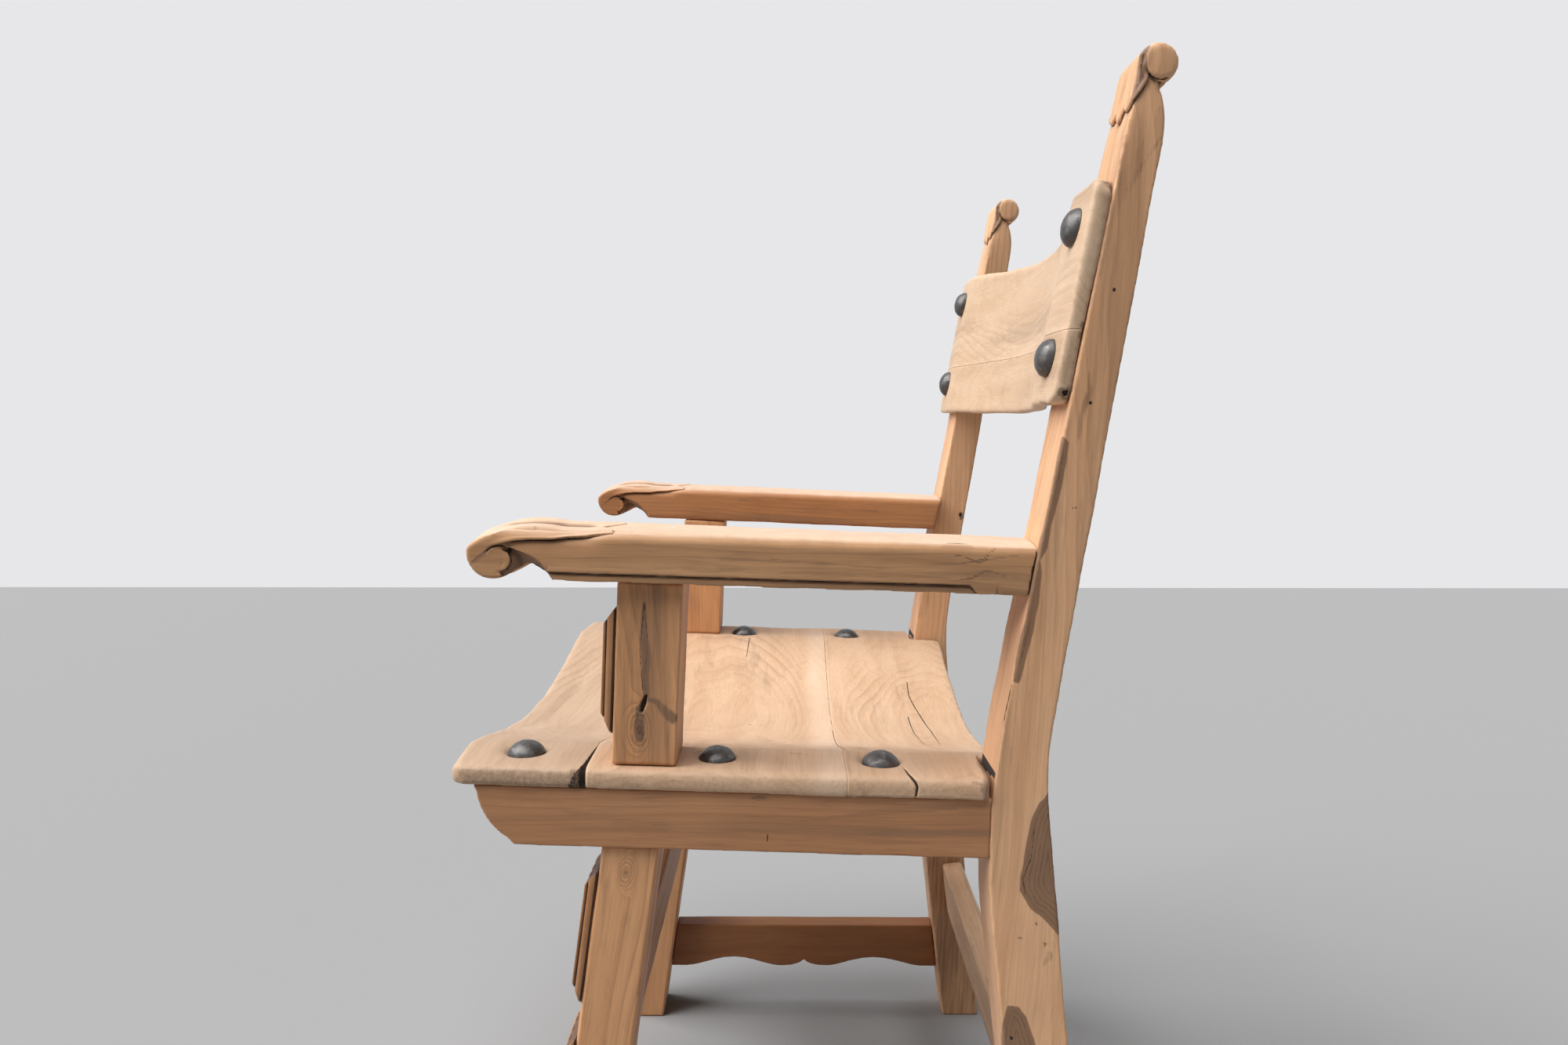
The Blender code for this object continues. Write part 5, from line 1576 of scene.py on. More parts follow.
@dataclass
class Seat:
    """The dished seat of three boards, worn down round its nails.

    Attributes:
        nail_x: X of the nails.
        nail_y: Y of the nails, from the front.
        dent_radius: Reach of the hollow round a nail.
        dent_depth: Depth of that hollow.
        corner_x: Distance from the middle at which the back corners are cut off.
        corner_y: Y of the trimmed back edge in front of the posts.
        sapwood_y: Y behind which the middle board is paler.
        gap_x: X from which the front joint stands open and the face inside it is painted black as shade.
        gap_width: Reach in front of the front joint within which that face is painted black as shade.
        pocket_x: X from which the bark pocket beside that gap shows.
        pocket: Outline of the bark pocket, as Y and Z.
        voxel: Mesh size.
        marks: Marks of each board, by its name.
        piths: Place of the tree's middle for each board, by its name.
    """

    nail_x: float = 0.2455
    nail_y: tuple[float, ...] = (-0.2123, -0.0626, 0.0654)
    dent_radius: float = 0.0175
    dent_depth: float = 0.0027
    corner_x: float = 0.2815
    corner_y: float = 0.1428
    sapwood_y: float = 0.012
    gap_x: float = 0.236
    gap_width: float = 0.0045
    pocket_x: float = 0.2785
    pocket: tuple[Flat, ...] = (
        (-0.157, 0.5), (-0.1626, 0.4966), (-0.1668, 0.4936), (-0.1687, 0.4907), (-0.1702, 0.4881), (-0.1719, 0.4835),
        (-0.173, 0.476), (-0.157, 0.476),
    )
    voxel: float = 0.0021
    marks: dict[str, tuple[Mark, ...]] = field(
        default_factory=lambda: {
            "front": (
                crack((0.2302, -0.1572, 0.4972), (0.2597, -0.1575, 0.4972), (0.284, -0.158, 0.4965),
                      (0.287, -0.159, 0.485), width=(0.3, 1.6, 3.4), depth=0.004),
                stain((0.287, -0.1685, 0.495), (0.287, -0.164, 0.49), (0.287, -0.16, 0.485),
                      width=(3.0, 5.0, 6.0), strength=1.0),
                stain((0.287, -0.25, 0.486), (0.287, -0.22, 0.4855), (0.287, -0.19, 0.4845),
                      (0.287, -0.165, 0.4835), width=(1.0, 2.4, 1.4), strength=0.85),
                stain((0.1, -0.235, 0.47), (-0.05, -0.215, 0.466), (-0.16, -0.2, 0.478),
                      width=(1.5, 3.5, 1.0), strength=0.35),
            ),
            "middle": (
                crack((-0.2156, -0.0546, 0.4935), (-0.189, -0.0555, 0.486), (-0.1642, -0.0564, 0.479),
                      width=(0.35, 0.3, 0.08)),
                crack((-0.25, 0.0366, 0.493), (-0.12, 0.0366, 0.465), (0.03, 0.0366, 0.447), (0.1467, 0.0364, 0.4712),
                      (0.2, 0.0366, 0.486), width=(-0.15, 0.0, 0.3)),
                crack((0.0375, -0.0476, 0.4574), (0.0368, -0.042, 0.4572), width=(0.1, 0.3, 0.1)),
                crack((0.0362, -0.036, 0.457), (0.0359, -0.031, 0.4566), width=(0.05, 0.25, 0.05)),
                stain((0.2377, -0.0047, 0.4926), (0.2385, 0.009, 0.4923), width=(2.0, 4.0, 2.0), strength=0.5),
                stain((-0.1601, 0.009, 0.4758), (-0.1647, 0.036, 0.4757), width=(0.5, 0.8, 0.5), strength=0.7),
                stain((0.2, -0.12, 0.485), (0.08, -0.11, 0.458), (-0.06, -0.118, 0.455), (-0.17, -0.125, 0.478),
                      width=(1.0, 4.0, 2.0), strength=0.4),
            ),
            "back": (
                crack((0.2, 0.0376, 0.486), (0.2157, 0.041, 0.4895), (0.224, 0.0522, 0.4909),
                      width=(0.3, 0.7, 0.15),
                      depth=0.0008),
                crack((0.264, 0.0822, 0.493), (0.278, 0.0847, 0.493), (0.2865, 0.0875, 0.4905),
                      (0.287, 0.0897, 0.483),
                      (0.287, 0.0884, 0.473), width=(0.1, 0.9, 0.4), depth=0.0015),
                # Painted shade in the narrow gap between the seat's back corner and the post.
                stain((0.245, 0.144, 0.493), (0.283, 0.1425, 0.492), (0.2868, 0.1412, 0.488), (0.2868, 0.141, 0.4725),
                      width=(2.0, 3.0, 2.5), strength=1.0),
                crack((-0.0266, 0.1185, 0.448), (0.015, 0.1183, 0.446), (0.0742, 0.1198, 0.451),
                      (0.099, 0.125, 0.455),
                      (0.1317, 0.1273, 0.462), (0.1559, 0.1284, 0.469), width=(0.35, 0.2, -0.1)),
                crack((-0.1227, 0.1281, 0.4609), (-0.0903, 0.1263, 0.454), (-0.0508, 0.1302, 0.4481),
                      (0.0169, 0.137, 0.4452),
                      (0.0837, 0.1367, 0.4523), width=(0.3, 0.45, 0.1)),
                stain((0.287, 0.13, 0.488), (0.287, 0.137, 0.486), (0.287, 0.14, 0.476),
                      width=(1.0, 2.4, 2.0), strength=0.8),
                stain((0.287, 0.042, 0.49), (0.287, 0.05, 0.478), width=(2.0, 5.0, 4.0), strength=0.55),
                stain((0.24, 0.048, 0.4905), (0.15, 0.058, 0.47), (0.02, 0.062, 0.447), (-0.14, 0.055, 0.469),
                      width=(2.0, 5.0, 2.0), strength=0.4),
                stain((0.15, 0.12, 0.466), (0.01, 0.118, 0.445), (-0.15, 0.112, 0.469),
                      width=(2.0, 6.0, 2.0), strength=0.4),
            ),
        }
    )
    piths: dict[str, Point] = field(
        default_factory=lambda: {"front": (0.0, 0.02, -0.075), "middle": (0.0, -0.03, -0.11), "back": (0.0, 0.03, -0.085)}
    )

    def _free_corners(self, seat: Timber) -> None:
        """Trims the back corners, so that a narrow gap shows in front of each post.

        Args:
            seat: The glued seat.
        """
        across = np.abs(seat.points[:, 0])
        limit = self.corner_y - 0.5 * np.clip(across - self.corner_x, 0.0, None)
        beyond = np.clip(seat.points[:, 1] - limit, 0.0, None)
        seat.points[:, 1] -= 0.85 * beyond * smoothstep(0.222, 0.23, across)

    def _bark(self, board: Timber, sawn: np.ndarray) -> None:
        """Paints the face inside the open end of the front joint black as shade, and blackens the bark pocket beside
        it.

        Args:
            board: The front board.
            sawn: True for the points of its face in the joint.
        """
        x = board.points[:, 0]
        away = np.clip(outline_distance(board.points[:, 1:], self.pocket) / MILLIMETRE, 0.0, None)
        board.cracks = np.minimum(board.cracks, np.where(x > self.pocket_x, away + 0.08, CLEAR))
        # The face inside the open joint is painted black as shade.
        board.cracks[sawn & (x > self.gap_x)] = -1.0

    def build(self) -> None:
        """Glues up the seat, wears it down, and saws and dresses the three boards."""
        nodes = tuple(f"seat_board_{word}" for word in self.marks)
        first, second = Joint.between(nodes[0], nodes[1], 1), Joint.between(nodes[1], nodes[2], 1)
        seat = Timber.remeshed(nodes, self.voxel, (first, second))
        seat.soften(3)
        seat.settle((np.abs(seat.points[:, 0]) > 0.27) & (seat.points[:, 2] < 0.4775))
        self._free_corners(seat)
        upward = smoothstep(0.3, 0.8, seat.normals()[:, 2])
        dent = np.zeros(len(seat.points))
        for x in (self.nail_x, -self.nail_x):
            for y in self.nail_y:
                away = np.hypot(seat.points[:, 0] - x, seat.points[:, 1] - y)
                dent = np.maximum(dent, np.exp(-((away / self.dent_radius) ** 4)))
        seat.points[:, 2] -= self.dent_depth * upward * dent
        seat.uneven(0.0006, 0.075, 31)
        sawn = (((first, -1),), ((first, 1), (second, -1)), ((second, 1),))
        for index, ((word, marks), cuts) in enumerate(zip(self.marks.items(), sawn)):
            board = seat.board(f"seat_board_{word}", cuts)
            board.refine_along(marks)
            board.soil = (0.36 if index else 0.6) * smoothstep(0.6, 0.92, np.abs(board.normals()[:, 0]))
            if word == "middle":
                grown = board.points[:, 1] + 0.0025 * ripple(board.points, 0.11, 33)
                board.bleach = 0.45 * smoothstep(self.sapwood_y - 0.006, self.sapwood_y + 0.01, grown)
            board.open_cracks(marks)
            beside_gap = (board.points[:, 1] > first.place - self.gap_width) & (board.normals()[:, 1] > 0.3)
            if word == "front":
                self._bark(board, beside_gap)
            grain = Grain((1.0, 0.012 * (index - 1), 0.01), self.piths[word])
            board.dress(PALE_WOOD if index else FRONT_BOARD_WOOD, grain, marks)


@dataclass
class BackPanel:
    """The bowed back panel of two boards, with one chipped corner.

    Attributes:
        chip: Middle of the chip.
        chip_radius: Its reach.
        chip_depth: Its depth.
        voxel: Mesh size.
        marks: Marks of each board, by its name.
    """

    chip: Point = (0.2795, 0.2238, 0.9262)
    chip_radius: float = 0.012
    chip_depth: float = 0.0024
    voxel: float = 0.0019
    marks: dict[str, tuple[Mark, ...]] = field(
        default_factory=lambda: {
            "lower": (
                stain((0.2818, 0.1905, 0.7765), (0.2814, 0.1945, 0.7752), (0.2806, 0.1972, 0.7735),
                      width=(3.5, 6.0, 4.5), strength=1.5),
                crack((0.2816, 0.1925, 0.776), (0.281, 0.1955, 0.7745), width=(0.8, 2.6, 1.2), depth=0.0018),
                stain((0.245, 0.185, 0.77), (0.258, 0.185, 0.7682), (0.272, 0.186, 0.7685),
                      width=(1.5, 2.4, 1.5), strength=1.0),
                stain((0.282, 0.2035, 0.8175), (0.282, 0.2055, 0.815), width=(2.2, 4.0, 2.2), strength=1.0),
                stain((0.15, 0.2, 0.79), (0.0, 0.215, 0.786), (-0.15, 0.203, 0.79),
                      width=(1.0, 3.0, 1.0), strength=0.35),
            ),
            "upper": (
                stain((0.277, 0.2205, 0.9262), (0.28, 0.223, 0.9228), (0.2818, 0.2245, 0.9175),
                      width=(2.5, 4.0, 2.0), strength=1.1),
                stain((0.282, 0.204, 0.8235), (0.282, 0.206, 0.8245), width=(2.0, 3.2, 1.8), strength=0.95),
                stain((0.17, 0.208, 0.86), (0.02, 0.222, 0.866), (-0.12, 0.214, 0.862),
                      width=(1.0, 5.0, 1.5), strength=0.35),
            ),
        }
    )

    def build(self) -> None:
        """Glues up the panel, softens it, and saws and dresses both boards."""
        nodes = tuple(f"back_panel_{word}" for word in self.marks)
        joint = Joint.between(nodes[0], nodes[1], 2)
        panel = Timber.remeshed(nodes, self.voxel, (joint,))
        panel.soften(3)
        panel.settle(np.abs(panel.points[:, 0]) > 0.266)
        panel.soften(1)
        panel.uneven(0.0005, 0.07, 41)
        for index, (word, marks) in enumerate(self.marks.items()):
            board = panel.board(f"back_panel_{word}", ((joint, 1 if index else -1),))
            board.refine_along(marks)
            away = np.linalg.norm(board.points - self.chip, axis=1)
            chipped = smoothstep(self.chip_radius, 0.2 * self.chip_radius, away)
            board.push(-self.chip_depth * chipped)
            board.soil = 0.9 * chipped
            board.open_cracks(marks)
            grain = Grain((1.0, 0.0, 0.012), (0.0, 0.085, -0.02 + 0.05 * index))
            board.dress(PANEL_WOOD, grain, marks)


@dataclass
class Frame:
    """The plain pieces of the frame: legs, arm supports, rails and stretchers.

    Attributes:
        voxel: Mesh size.
        support_marks: Marks of the left arm support, with its bark pocket.
        leg_knot: The knot in the left front leg.
        rail_marks: Marks of the left rail.
    """

    voxel: float = 0.002
    support_marks: tuple[Mark, ...] = (
        stain((0.278, -0.1138, 0.6201), (0.278, -0.115, 0.5941), (0.278, -0.1135, 0.5838), (0.278, -0.1129, 0.5745),
              (0.278, -0.1143, 0.5652), (0.278, -0.1131, 0.5559), (0.278, -0.114, 0.548),
              width=(1.6, 4.5, 3.0), strength=0.95),
        stain((0.278, -0.1175, 0.54), (0.278, -0.1188, 0.529), (0.278, -0.119, 0.518),
              width=(3.5, 5.2, 4.2), strength=1.1),
        stain((0.278, -0.1113, 0.5472), (0.278, -0.1054, 0.5459), (0.278, -0.0996, 0.5378), (0.278, -0.0937, 0.5331),
              width=(2.0, 4.0, 5.0), strength=1.0),
        crack((0.278, -0.1138, 0.6201), (0.278, -0.1165, 0.5941), (0.278, -0.1175, 0.5858), (0.278, -0.1168, 0.5715),
              (0.278, -0.1158, 0.5548), width=(0.1, -0.05, 0.1)),
        crack((0.278, -0.1136, 0.618), (0.278, -0.1122, 0.599), (0.278, -0.1117, 0.5858), (0.278, -0.1136, 0.5715),
              (0.278, -0.114, 0.5548), width=(0.0, -0.12, 0.0)),
        crack((0.278, -0.1135, 0.55), (0.278, -0.1152, 0.5452), (0.278, -0.117, 0.5385),
              width=(0.5, 1.7, 0.9), depth=0.003),
        crack((0.278, -0.1159, 0.5478), (0.278, -0.1219, 0.5371), (0.278, -0.1246, 0.5264), (0.278, -0.1239, 0.5169),
              (0.278, -0.119, 0.5115), (0.278, -0.1143, 0.5149), (0.278, -0.1128, 0.5264), (0.278, -0.111, 0.5358),
              (0.278, -0.112, 0.5425), (0.278, -0.1135, 0.548), width=(-0.2, -0.1, -0.3)),
        crack((0.278, -0.1217, 0.5264), (0.278, -0.1188, 0.521), (0.278, -0.1161, 0.5264), (0.278, -0.1174, 0.5318),
              (0.278, -0.1207, 0.5291), width=(-0.2, 0.0, -0.2)),
        crack((0.278, -0.1206, 0.5372), (0.278, -0.1196, 0.533), (0.278, -0.1218, 0.5296), width=(-0.1, 0.1, 0.0)),
        crack((0.278, -0.1176, 0.516), (0.278, -0.116, 0.5205), (0.278, -0.1142, 0.5235), width=(0.0, 0.1, -0.1)),
    )
    support_knot: Knot = Knot((0.278, -0.1188, 0.524), 0.0225, 0.0112)
    leg_knot: Knot = Knot((0.278, -0.1301, 0.4129), 0.015, 0.0075)
    rail_marks: tuple[Mark, ...] = (
        stain((0.283, -0.108, 0.452), (0.283, -0.096, 0.45), width=(3.0, 6.0, 3.0), strength=0.5),
        stain((0.283, -0.034, 0.473), (0.283, -0.024, 0.4732), width=(1.5, 3.0, 1.5), strength=0.75),
        stain((0.283, 0.01, 0.456), (0.283, 0.06, 0.463), (0.283, 0.1197, 0.466),
              width=(1.0, 4.0, 2.0), strength=0.6),
        stain((0.283, 0.015, 0.448), (0.283, 0.07, 0.45), (0.283, 0.125, 0.447),
              width=(1.0, 3.0, 1.5), strength=0.5),
        stain((0.283, -0.19, 0.46), (0.283, -0.12, 0.458), (0.283, -0.06, 0.456),
              width=(0.8, 1.8, 0.8), strength=0.4),
        crack((0.283, -0.0223, 0.445), (0.283, -0.0226, 0.4395), width=(0.1, 0.3, 0.08)),
    )

    def build(self) -> None:
        """Builds and dresses every plain piece."""
        for side in Side:
            sign, left = side.value, side is Side.LEFT
            self._plain(
                f"front_leg_{side.word}", LIT_LEG_WOOD, Grain((0.01 * sign, 0.143, 1.0), (-0.08 * sign, -0.03, 0.0)),
                knots=(self.leg_knot,) if left else (),
            )
            self._plain(
                f"arm_support_{side.word}", LIT_LEG_WOOD, Grain((0.02 * sign, -0.03, 1.0), (-0.07 * sign, 0.045, 0.0)),
                self.support_marks if left else (), (self.support_knot,) if left else (),
            )
            self._plain(
                f"side_rail_{side.word}", RAIL_WOOD, Grain((0.008 * sign, 1.0, -0.02), (-0.05 * sign, 0.0, -0.06)),
                self.rail_marks if left else (),
            )
            self._plain(
                f"side_stretcher_{side.word}", BROWN_WOOD if left else SHADED_FAR_STRETCHER_WOOD,
                Grain((0.01, 1.0, 0.012), (-0.06 * sign, 0.0, 0.05)),
            )
        self._plain("front_stretcher", BROWN_WOOD, Grain((1.0, 0.01, 0.015), (0.0, 0.07, -0.05)))
        self._plain("back_stretcher", LIT_BACK_STRETCHER_WOOD, Grain((1.0, 0.01, -0.012), (0.0, -0.06, 0.05)))

    def _plain(
        self, node: str, finish: WoodFinish, grain: Grain, marks: Sequence[Mark] = (), knots: Sequence[Knot] = ()
    ) -> None:
        """Builds one plain piece.

        Args:
            node: Its CAD node.
            finish: The timber's colours.
            grain: How it lay in its tree.
            marks: Its cracks and stains.
            knots: Its knots.
        """
        piece = Timber.remeshed((node,), self.voxel)
        piece.soften(1)
        piece.crisp()
        piece.refine_along(marks)
        piece.uneven(0.0003, 0.06, 51 + len(node))
        piece.open_cracks(marks)
        piece.dress(finish, grain, marks, knots)


@dataclass
class Tablets:
    """The fluted tablets on the arm supports and the front legs.

    Attributes:
        edge: Width of the eased edges.
        margin: Width of the plain border beside the flutes, left out of the painted shade.
    """

    edge: float = 0.0005
    margin: float = 0.0015

    def build(self) -> None:
        """Builds and dresses the six tablets."""
        for side in Side:
            for word, lean in (("support_tablet", -0.049), ("leg_tablet_upper", 0.143), ("leg_tablet_lower", 0.143)):
                tablet = Timber.eased(f"{word}_{side.word}", self.edge)
                ahead = np.asarray(Vector((0.0, -1.0, lean)).normalized())
                level = tablet.points @ ahead
                sideways = np.abs(tablet.points[:, 0] - tablet.points[:, 0].mean())
                inner = sideways < sideways.max() - self.margin
                # Everything set back from the front face is painted dark as shade in the flutes.
                tablet.soil = 1.2 * inner * smoothstep(0.0006, 0.0018, level.max() - level)
                tablet.dress(GROOVE_SHADED_TABLET_WOOD, Grain((0.01, lean, 1.0), (-0.04 * side.value, 0.05, 0.0)))


@dataclass
class Nails:
    """The domed iron nails of the seat and the back panel.

    Attributes:
        radius: Radius of a head.
        rise: Height of a head.
        hammered: Depth of the hammer marks.
        panel_tilt: How far the panel's nails point upwards.
    """

    radius: float = 0.0147
    rise: float = 0.0108
    hammered: float = 0.00055
    panel_tilt: float = math.radians(10.3)

    def _seats(self) -> tuple[list[str], list[Vector], list[Vector]]:
        """Returns the nail nodes, the middle of each head's base and the way it points."""
        nodes, bases, ways = [], [], []
        for name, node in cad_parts.items():
            if "_nail_" not in name:
                continue
            way = Vector((0.0, 0.0, 1.0))
            if name.startswith("panel"):
                way = Vector((0.0, -math.cos(self.panel_tilt), math.sin(self.panel_tilt)))
            flat = np.empty(len(node.data.vertices) * 3, np.float32)
            node.data.vertices.foreach_get("co", flat)
            points = flat.reshape(-1, 3)
            reach = points @ np.asarray(way, np.float32)
            on_panel = name.startswith("panel")
            middle = Vector(points.mean(axis=0) if on_panel else (points.max(axis=0) + points.min(axis=0)) / 2)
            nodes.append(name)
            bases.append(middle + way * (float(reach.max()) - self.rise - middle.dot(way)))
            ways.append(way)
        return nodes, bases, ways

    def _tree(self, iron: bpy.types.Material) -> bpy.types.NodeTree:
        """Builds the Geometry Nodes tree that sets a hammered dome on each point.

        Args:
            iron: The material of the domes.

        Returns:
            The tree.
        """
        tree, given, gives = new_group(
            "domed nails",
            (
                Plug("Geometry", "NodeSocketGeometry"),
                Plug("Radius"),
                Plug("Rise"),
                Plug("Hammer depth"),
                Plug("Seed", "NodeSocketInt"),
                Plug("Geometry", "NodeSocketGeometry", True),
            ),
            "GeometryNodeTree",
        )
        ball = tree.add("GeometryNodeMeshUVSphere")
        ball.inputs["Segments"].default_value = 56
        ball.inputs["Rings"].default_value = 36
        ball.inputs["Radius"].default_value = 1.0
        at = tree.add("GeometryNodeInputPosition").outputs[0]
        parts = tree.add("ShaderNodeSeparateXYZ")
        tree.feed(parts.inputs[0], at)
        above = tree.times(tree.maths("MAXIMUM", parts.outputs["Z"], 0.0), given.outputs["Rise"])
        below = tree.times(tree.maths("MINIMUM", parts.outputs["Z"], 0.0), 0.0022)
        dome = tree.add("ShaderNodeCombineXYZ")
        for axis in "XY":
            tree.feed(dome.inputs[axis], tree.times(parts.outputs[axis], given.outputs["Radius"]))
        tree.feed(dome.inputs["Z"], tree.plus(above, below))
        shaped = tree.add("GeometryNodeSetPosition")
        tree.feed(shaped.inputs["Geometry"], ball.outputs["Mesh"])
        tree.feed(shaped.inputs["Position"], dome.outputs[0])

        way = tree.add("GeometryNodeInputNamedAttribute", data_type="FLOAT_VECTOR")
        way.inputs["Name"].default_value = "nail_way"
        aim = tree.add("FunctionNodeAlignRotationToVector", axis="Z")
        tree.feed(aim.inputs["Vector"], way.outputs["Attribute"])
        spin = tree.add("FunctionNodeRandomValue", data_type="FLOAT")
        for socket in spin.inputs:
            if socket.name == "Min" and socket.type == "VALUE":
                socket.default_value = 0.0
            if socket.name == "Max" and socket.type == "VALUE":
                socket.default_value = 2.0 * math.pi
        tree.feed(spin.inputs["Seed"], given.outputs["Seed"])
        turn = tree.add("ShaderNodeCombineXYZ")
        turned = [socket for socket in spin.outputs if socket.type == "VALUE"][0]
        tree.feed(turn.inputs["Z"], turned)
        spun = tree.add("FunctionNodeRotateRotation", rotation_space="LOCAL")
        tree.feed(spun.inputs["Rotation"], aim.outputs["Rotation"])
        euler = tree.add("FunctionNodeEulerToRotation")
        tree.feed(euler.inputs[0], turn.outputs[0])
        tree.feed(spun.inputs["Rotate By"], euler.outputs[0])

        placed = tree.add("GeometryNodeInstanceOnPoints")
        tree.feed(placed.inputs["Points"], given.outputs["Geometry"])
        tree.feed(placed.inputs["Instance"], shaped.outputs["Geometry"])
        tree.feed(placed.inputs["Rotation"], spun.outputs[0])
        real = tree.add("GeometryNodeRealizeInstances")
        tree.feed(real.inputs["Geometry"], placed.outputs["Instances"])

        blows = tree.add("ShaderNodeTexNoise")
        blows.inputs["Scale"].default_value = 165.0
        blows.inputs["Detail"].default_value = 1.0
        tree.feed(blows.inputs["Vector"], tree.add("GeometryNodeInputPosition").outputs[0])
        depth = tree.times(tree.minus(blows.outputs["Fac"], 0.6), given.outputs["Hammer depth"])
        outward = tree.add("GeometryNodeInputNormal").outputs[0]
        scaled = tree.add("ShaderNodeVectorMath", operation="SCALE")
        tree.feed(scaled.inputs[0], outward)
        tree.feed(scaled.inputs["Scale"], tree.times(depth, 2.0))
        beaten = tree.add("GeometryNodeSetPosition")
        tree.feed(beaten.inputs["Geometry"], real.outputs["Geometry"])
        tree.feed(beaten.inputs["Offset"], scaled.outputs[0])
        smooth = tree.add("GeometryNodeSetShadeSmooth")
        tree.feed(smooth.inputs["Geometry"], beaten.outputs["Geometry"])
        dressed = tree.add("GeometryNodeSetMaterial")
        dressed.inputs["Material"].default_value = iron
        tree.feed(dressed.inputs["Geometry"], smooth.outputs["Geometry"])
        tree.feed(gives.inputs["Geometry"], dressed.outputs["Geometry"])
        return tree.tree

    def build(self) -> None:
        """Builds all nails as one piece."""
        nodes, bases, ways = self._seats()
        seeds = bpy.data.meshes.new("nail_points")
        seeds.from_pydata(bases, [], [])
        layer = seeds.attributes.new("nail_way", "FLOAT_VECTOR", "POINT")
        layer.data.foreach_set("vector", np.asarray(ways, np.float32).ravel())
        holder = bpy.data.objects.new("nail_points", seeds)
        bpy.context.scene.collection.objects.link(holder)
        iron = iron_material(OLD_IRON)
        tree = self._tree(iron)
        modifier = holder.modifiers.new("domed nails", "NODES")
        modifier.node_group = tree
        sizes = {"Radius": self.radius, "Rise": self.rise, "Hammer depth": self.hammered, "Seed": 7}
        for item in tree.interface.items_tree:
            if item.in_out == "INPUT" and item.name in sizes:
                modifier[item.identifier] = sizes[item.name]
        depsgraph = bpy.context.evaluated_depsgraph_get()
        mesh = bpy.data.meshes.new_from_object(holder.evaluated_get(depsgraph))
        holder.modifiers.remove(modifier)
        bpy.data.objects.remove(holder)
        mesh.name = "iron_nails"
        piece = bpy.data.objects.new("iron_nails", mesh)
        bpy.context.scene.collection.objects.link(piece)
        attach(piece, BODY)
        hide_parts(*nodes)
        LOG.info("%s: %d nails, %d faces", piece.name, len(nodes), len(mesh.polygons))


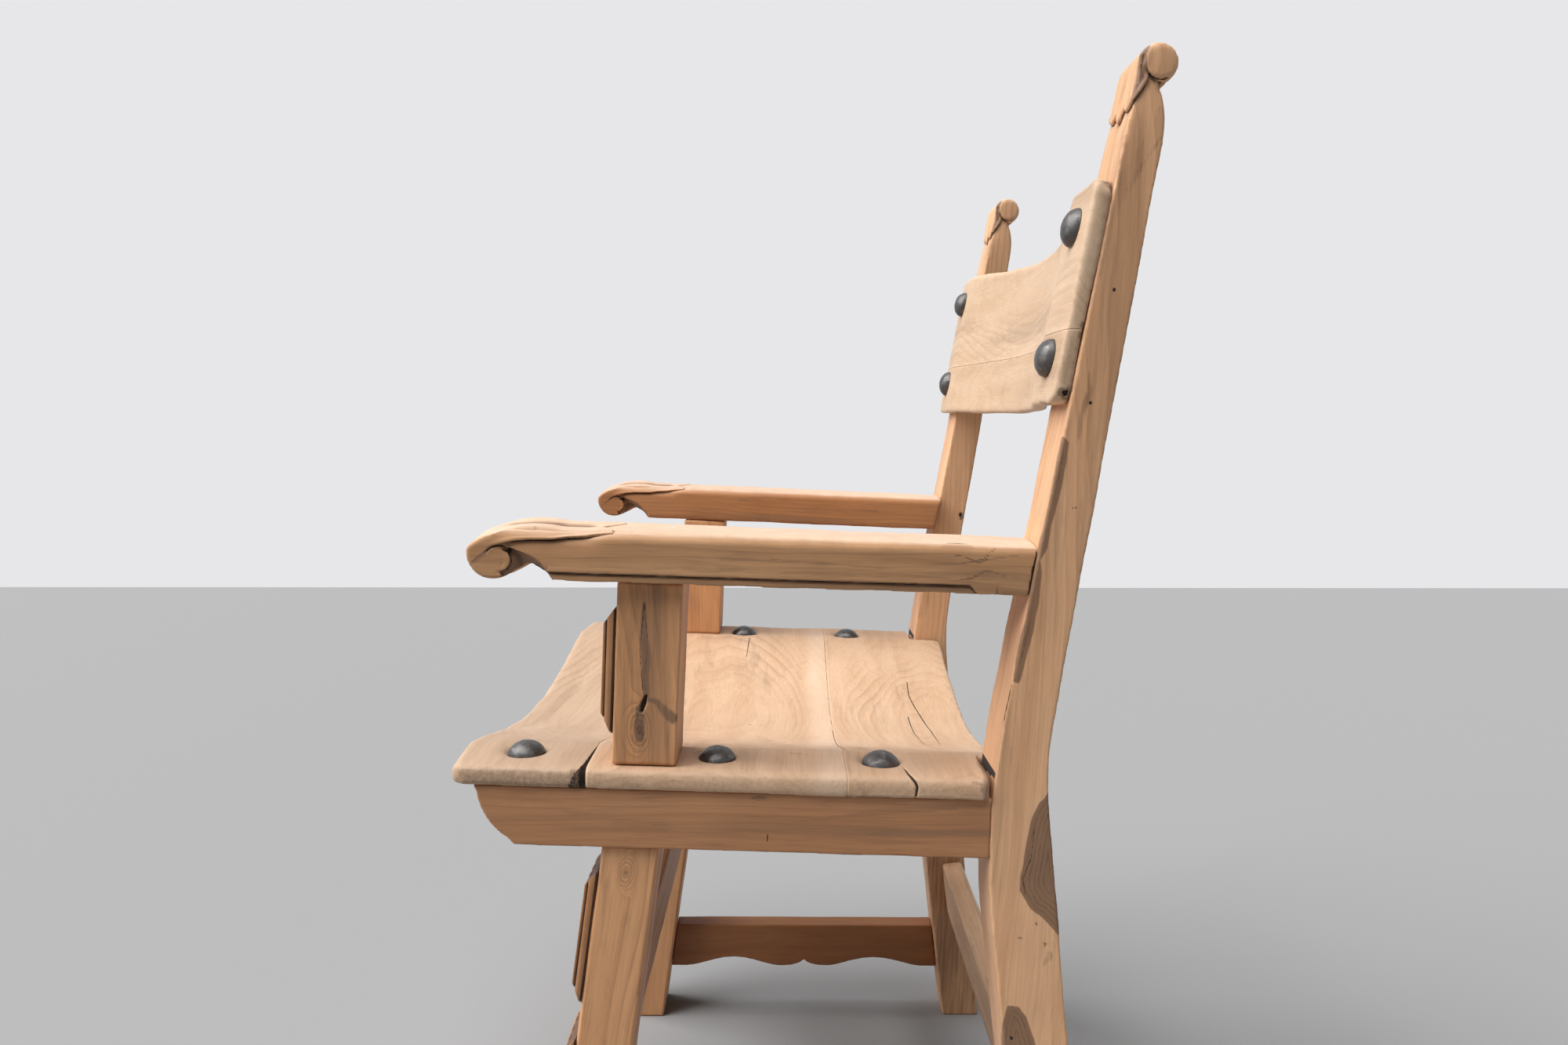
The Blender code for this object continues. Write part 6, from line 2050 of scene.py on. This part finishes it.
@dataclass
class Studio:
    """The pale floor, the soft light and the camera.

    Attributes:
        camera_at: Where the camera stands.
        pitch: How far it looks down.
        yaw: How far it is turned from straight along -X.
        lens: Focal length in millimetres on a sensor 36 mm wide.
        key_way: Towards the main light, as seen from the chair.
        key_level: Light of the main lamp on a surface that faces it.
        key_spread: How wide the main light looks from the chair.
        top_way: Towards the second light, as seen from the chair.
        top_level: Light of the second lamp on a surface that faces it.
        top_spread: How wide the second light looks from the chair.
        sky_level: Light from all round.
        floor_size: Size of the floor.
        floor_colour: Colour of the floor.
    """

    camera_at: Point = (1.045, -0.0065, 0.7526)
    pitch: float = math.radians(5.352)
    yaw: float = math.radians(-0.2687)
    lens: float = 36.0 * 1333.0 / 2000.0
    lamp_height: float = 3.0
    key_way: Point = (0.08, -0.75, 0.66)
    key_level: float = 1.25
    key_spread: float = math.radians(55.0)
    top_way: Point = (0.2, -0.1, 0.95)
    top_level: float = 0.74
    top_spread: float = math.radians(52.0)
    sky_level: float = 0.045
    floor_size: float = 7.5
    floor_colour: Colour = (0.315, 0.315, 0.318)
    wall_colour: Colour = (0.8, 0.8, 0.815)

    def build(self) -> None:
        """Sets up the stage."""
        bpy.context.scene.view_settings.view_transform = "Standard"
        self._floor()
        self._sky()
        self._lamp("key", self.key_way, self.key_level, self.key_spread)
        self._lamp("top", self.top_way, self.top_level, self.top_spread)
        self._camera()

    def _floor(self) -> None:
        """Lays the floor."""
        half = self.floor_size / 2
        mesh = bpy.data.meshes.new("floor")
        mesh.from_pydata([(-half, -half, 0), (half, -half, 0), (half, half, 0), (-half, half, 0)], [], [(0, 1, 2, 3)])
        material = bpy.data.materials.new("pale_floor")
        material.use_nodes = True
        surface = material.node_tree.nodes["Principled BSDF"]
        surface.inputs["Base Color"].default_value = rgba(self.floor_colour)
        surface.inputs["Roughness"].default_value = 0.85
        surface.inputs["Specular IOR Level"].default_value = 0.1
        mesh.materials.append(material)
        floor = bpy.data.objects.new("floor", mesh)
        bpy.context.scene.collection.objects.link(floor)

    def _sky(self) -> None:
        """Makes the even light from all round, behind a pale backdrop."""
        world = bpy.data.worlds.new("studio")
        bpy.context.scene.world = world
        world.use_nodes = True
        tree = Wiring(world.node_tree)
        light = world.node_tree.nodes["Background"]
        light.inputs["Color"].default_value = (1.0, 1.0, 1.0, 1.0)
        light.inputs["Strength"].default_value = self.sky_level
        wall = tree.add("ShaderNodeBackground")
        wall.inputs["Color"].default_value = rgba(self.wall_colour)
        wall.inputs["Strength"].default_value = 1.0
        path = tree.add("ShaderNodeLightPath")
        seen = tree.maths("MAXIMUM", path.outputs["Is Camera Ray"], path.outputs["Is Glossy Ray"])
        seen = tree.maths("MAXIMUM", seen, path.outputs["Is Transmission Ray"])
        choice = tree.add("ShaderNodeMixShader")
        tree.feed(choice.inputs[0], seen)
        tree.feed(choice.inputs[1], light.outputs[0])
        tree.feed(choice.inputs[2], wall.outputs[0])
        tree.feed(world.node_tree.nodes["World Output"].inputs["Surface"], choice.outputs[0])

    def _lamp(self, name: str, way: Point, level: float, spread: float) -> None:
        """Hangs a wide soft lamp that lights the whole stage evenly.

        Args:
            name: The lamp's name.
            way: Towards the lamp, as seen from the chair.
            level: Light on a surface that faces it.
            spread: How wide it looks from the chair.
        """
        lamp = bpy.data.lights.new(name, "SUN")
        lamp.energy = level * math.pi
        lamp.angle = spread
        holder = bpy.data.objects.new(name, lamp)
        toward = Vector(way).normalized()
        holder.location = toward * self.lamp_height
        holder.rotation_euler = toward.to_track_quat("Z", "Y").to_euler()
        bpy.context.scene.collection.objects.link(holder)

    def _camera(self) -> None:
        """Stands the camera where the photograph was taken."""
        ahead = Vector(
            (
                -math.cos(self.pitch) * math.cos(self.yaw),
                math.cos(self.pitch) * math.sin(self.yaw),
                -math.sin(self.pitch),
            )
        )
        right = Vector((math.sin(self.yaw), math.cos(self.yaw), 0.0))
        above = right.cross(ahead)
        camera = bpy.data.cameras.new("camera")
        camera.sensor_width = 36.0
        camera.lens = self.lens
        camera.clip_start = 0.01
        holder = bpy.data.objects.new("camera", camera)
        holder.matrix_world = Matrix.Translation(self.camera_at) @ Matrix((right, above, -ahead)).transposed().to_4x4()
        bpy.context.scene.collection.objects.link(holder)
        bpy.context.scene.camera = holder


def main() -> None:
    """Builds the armchair's pieces in order, then the stage."""
    logging.basicConfig(level=logging.INFO, format="%(name)s: %(message)s")
    for assembly in (BackPosts(), Arms(), Seat(), BackPanel(), Frame(), Tablets(), Nails()):
        assembly.build()
    Studio().build()


if __name__ == "__main__":
    main()
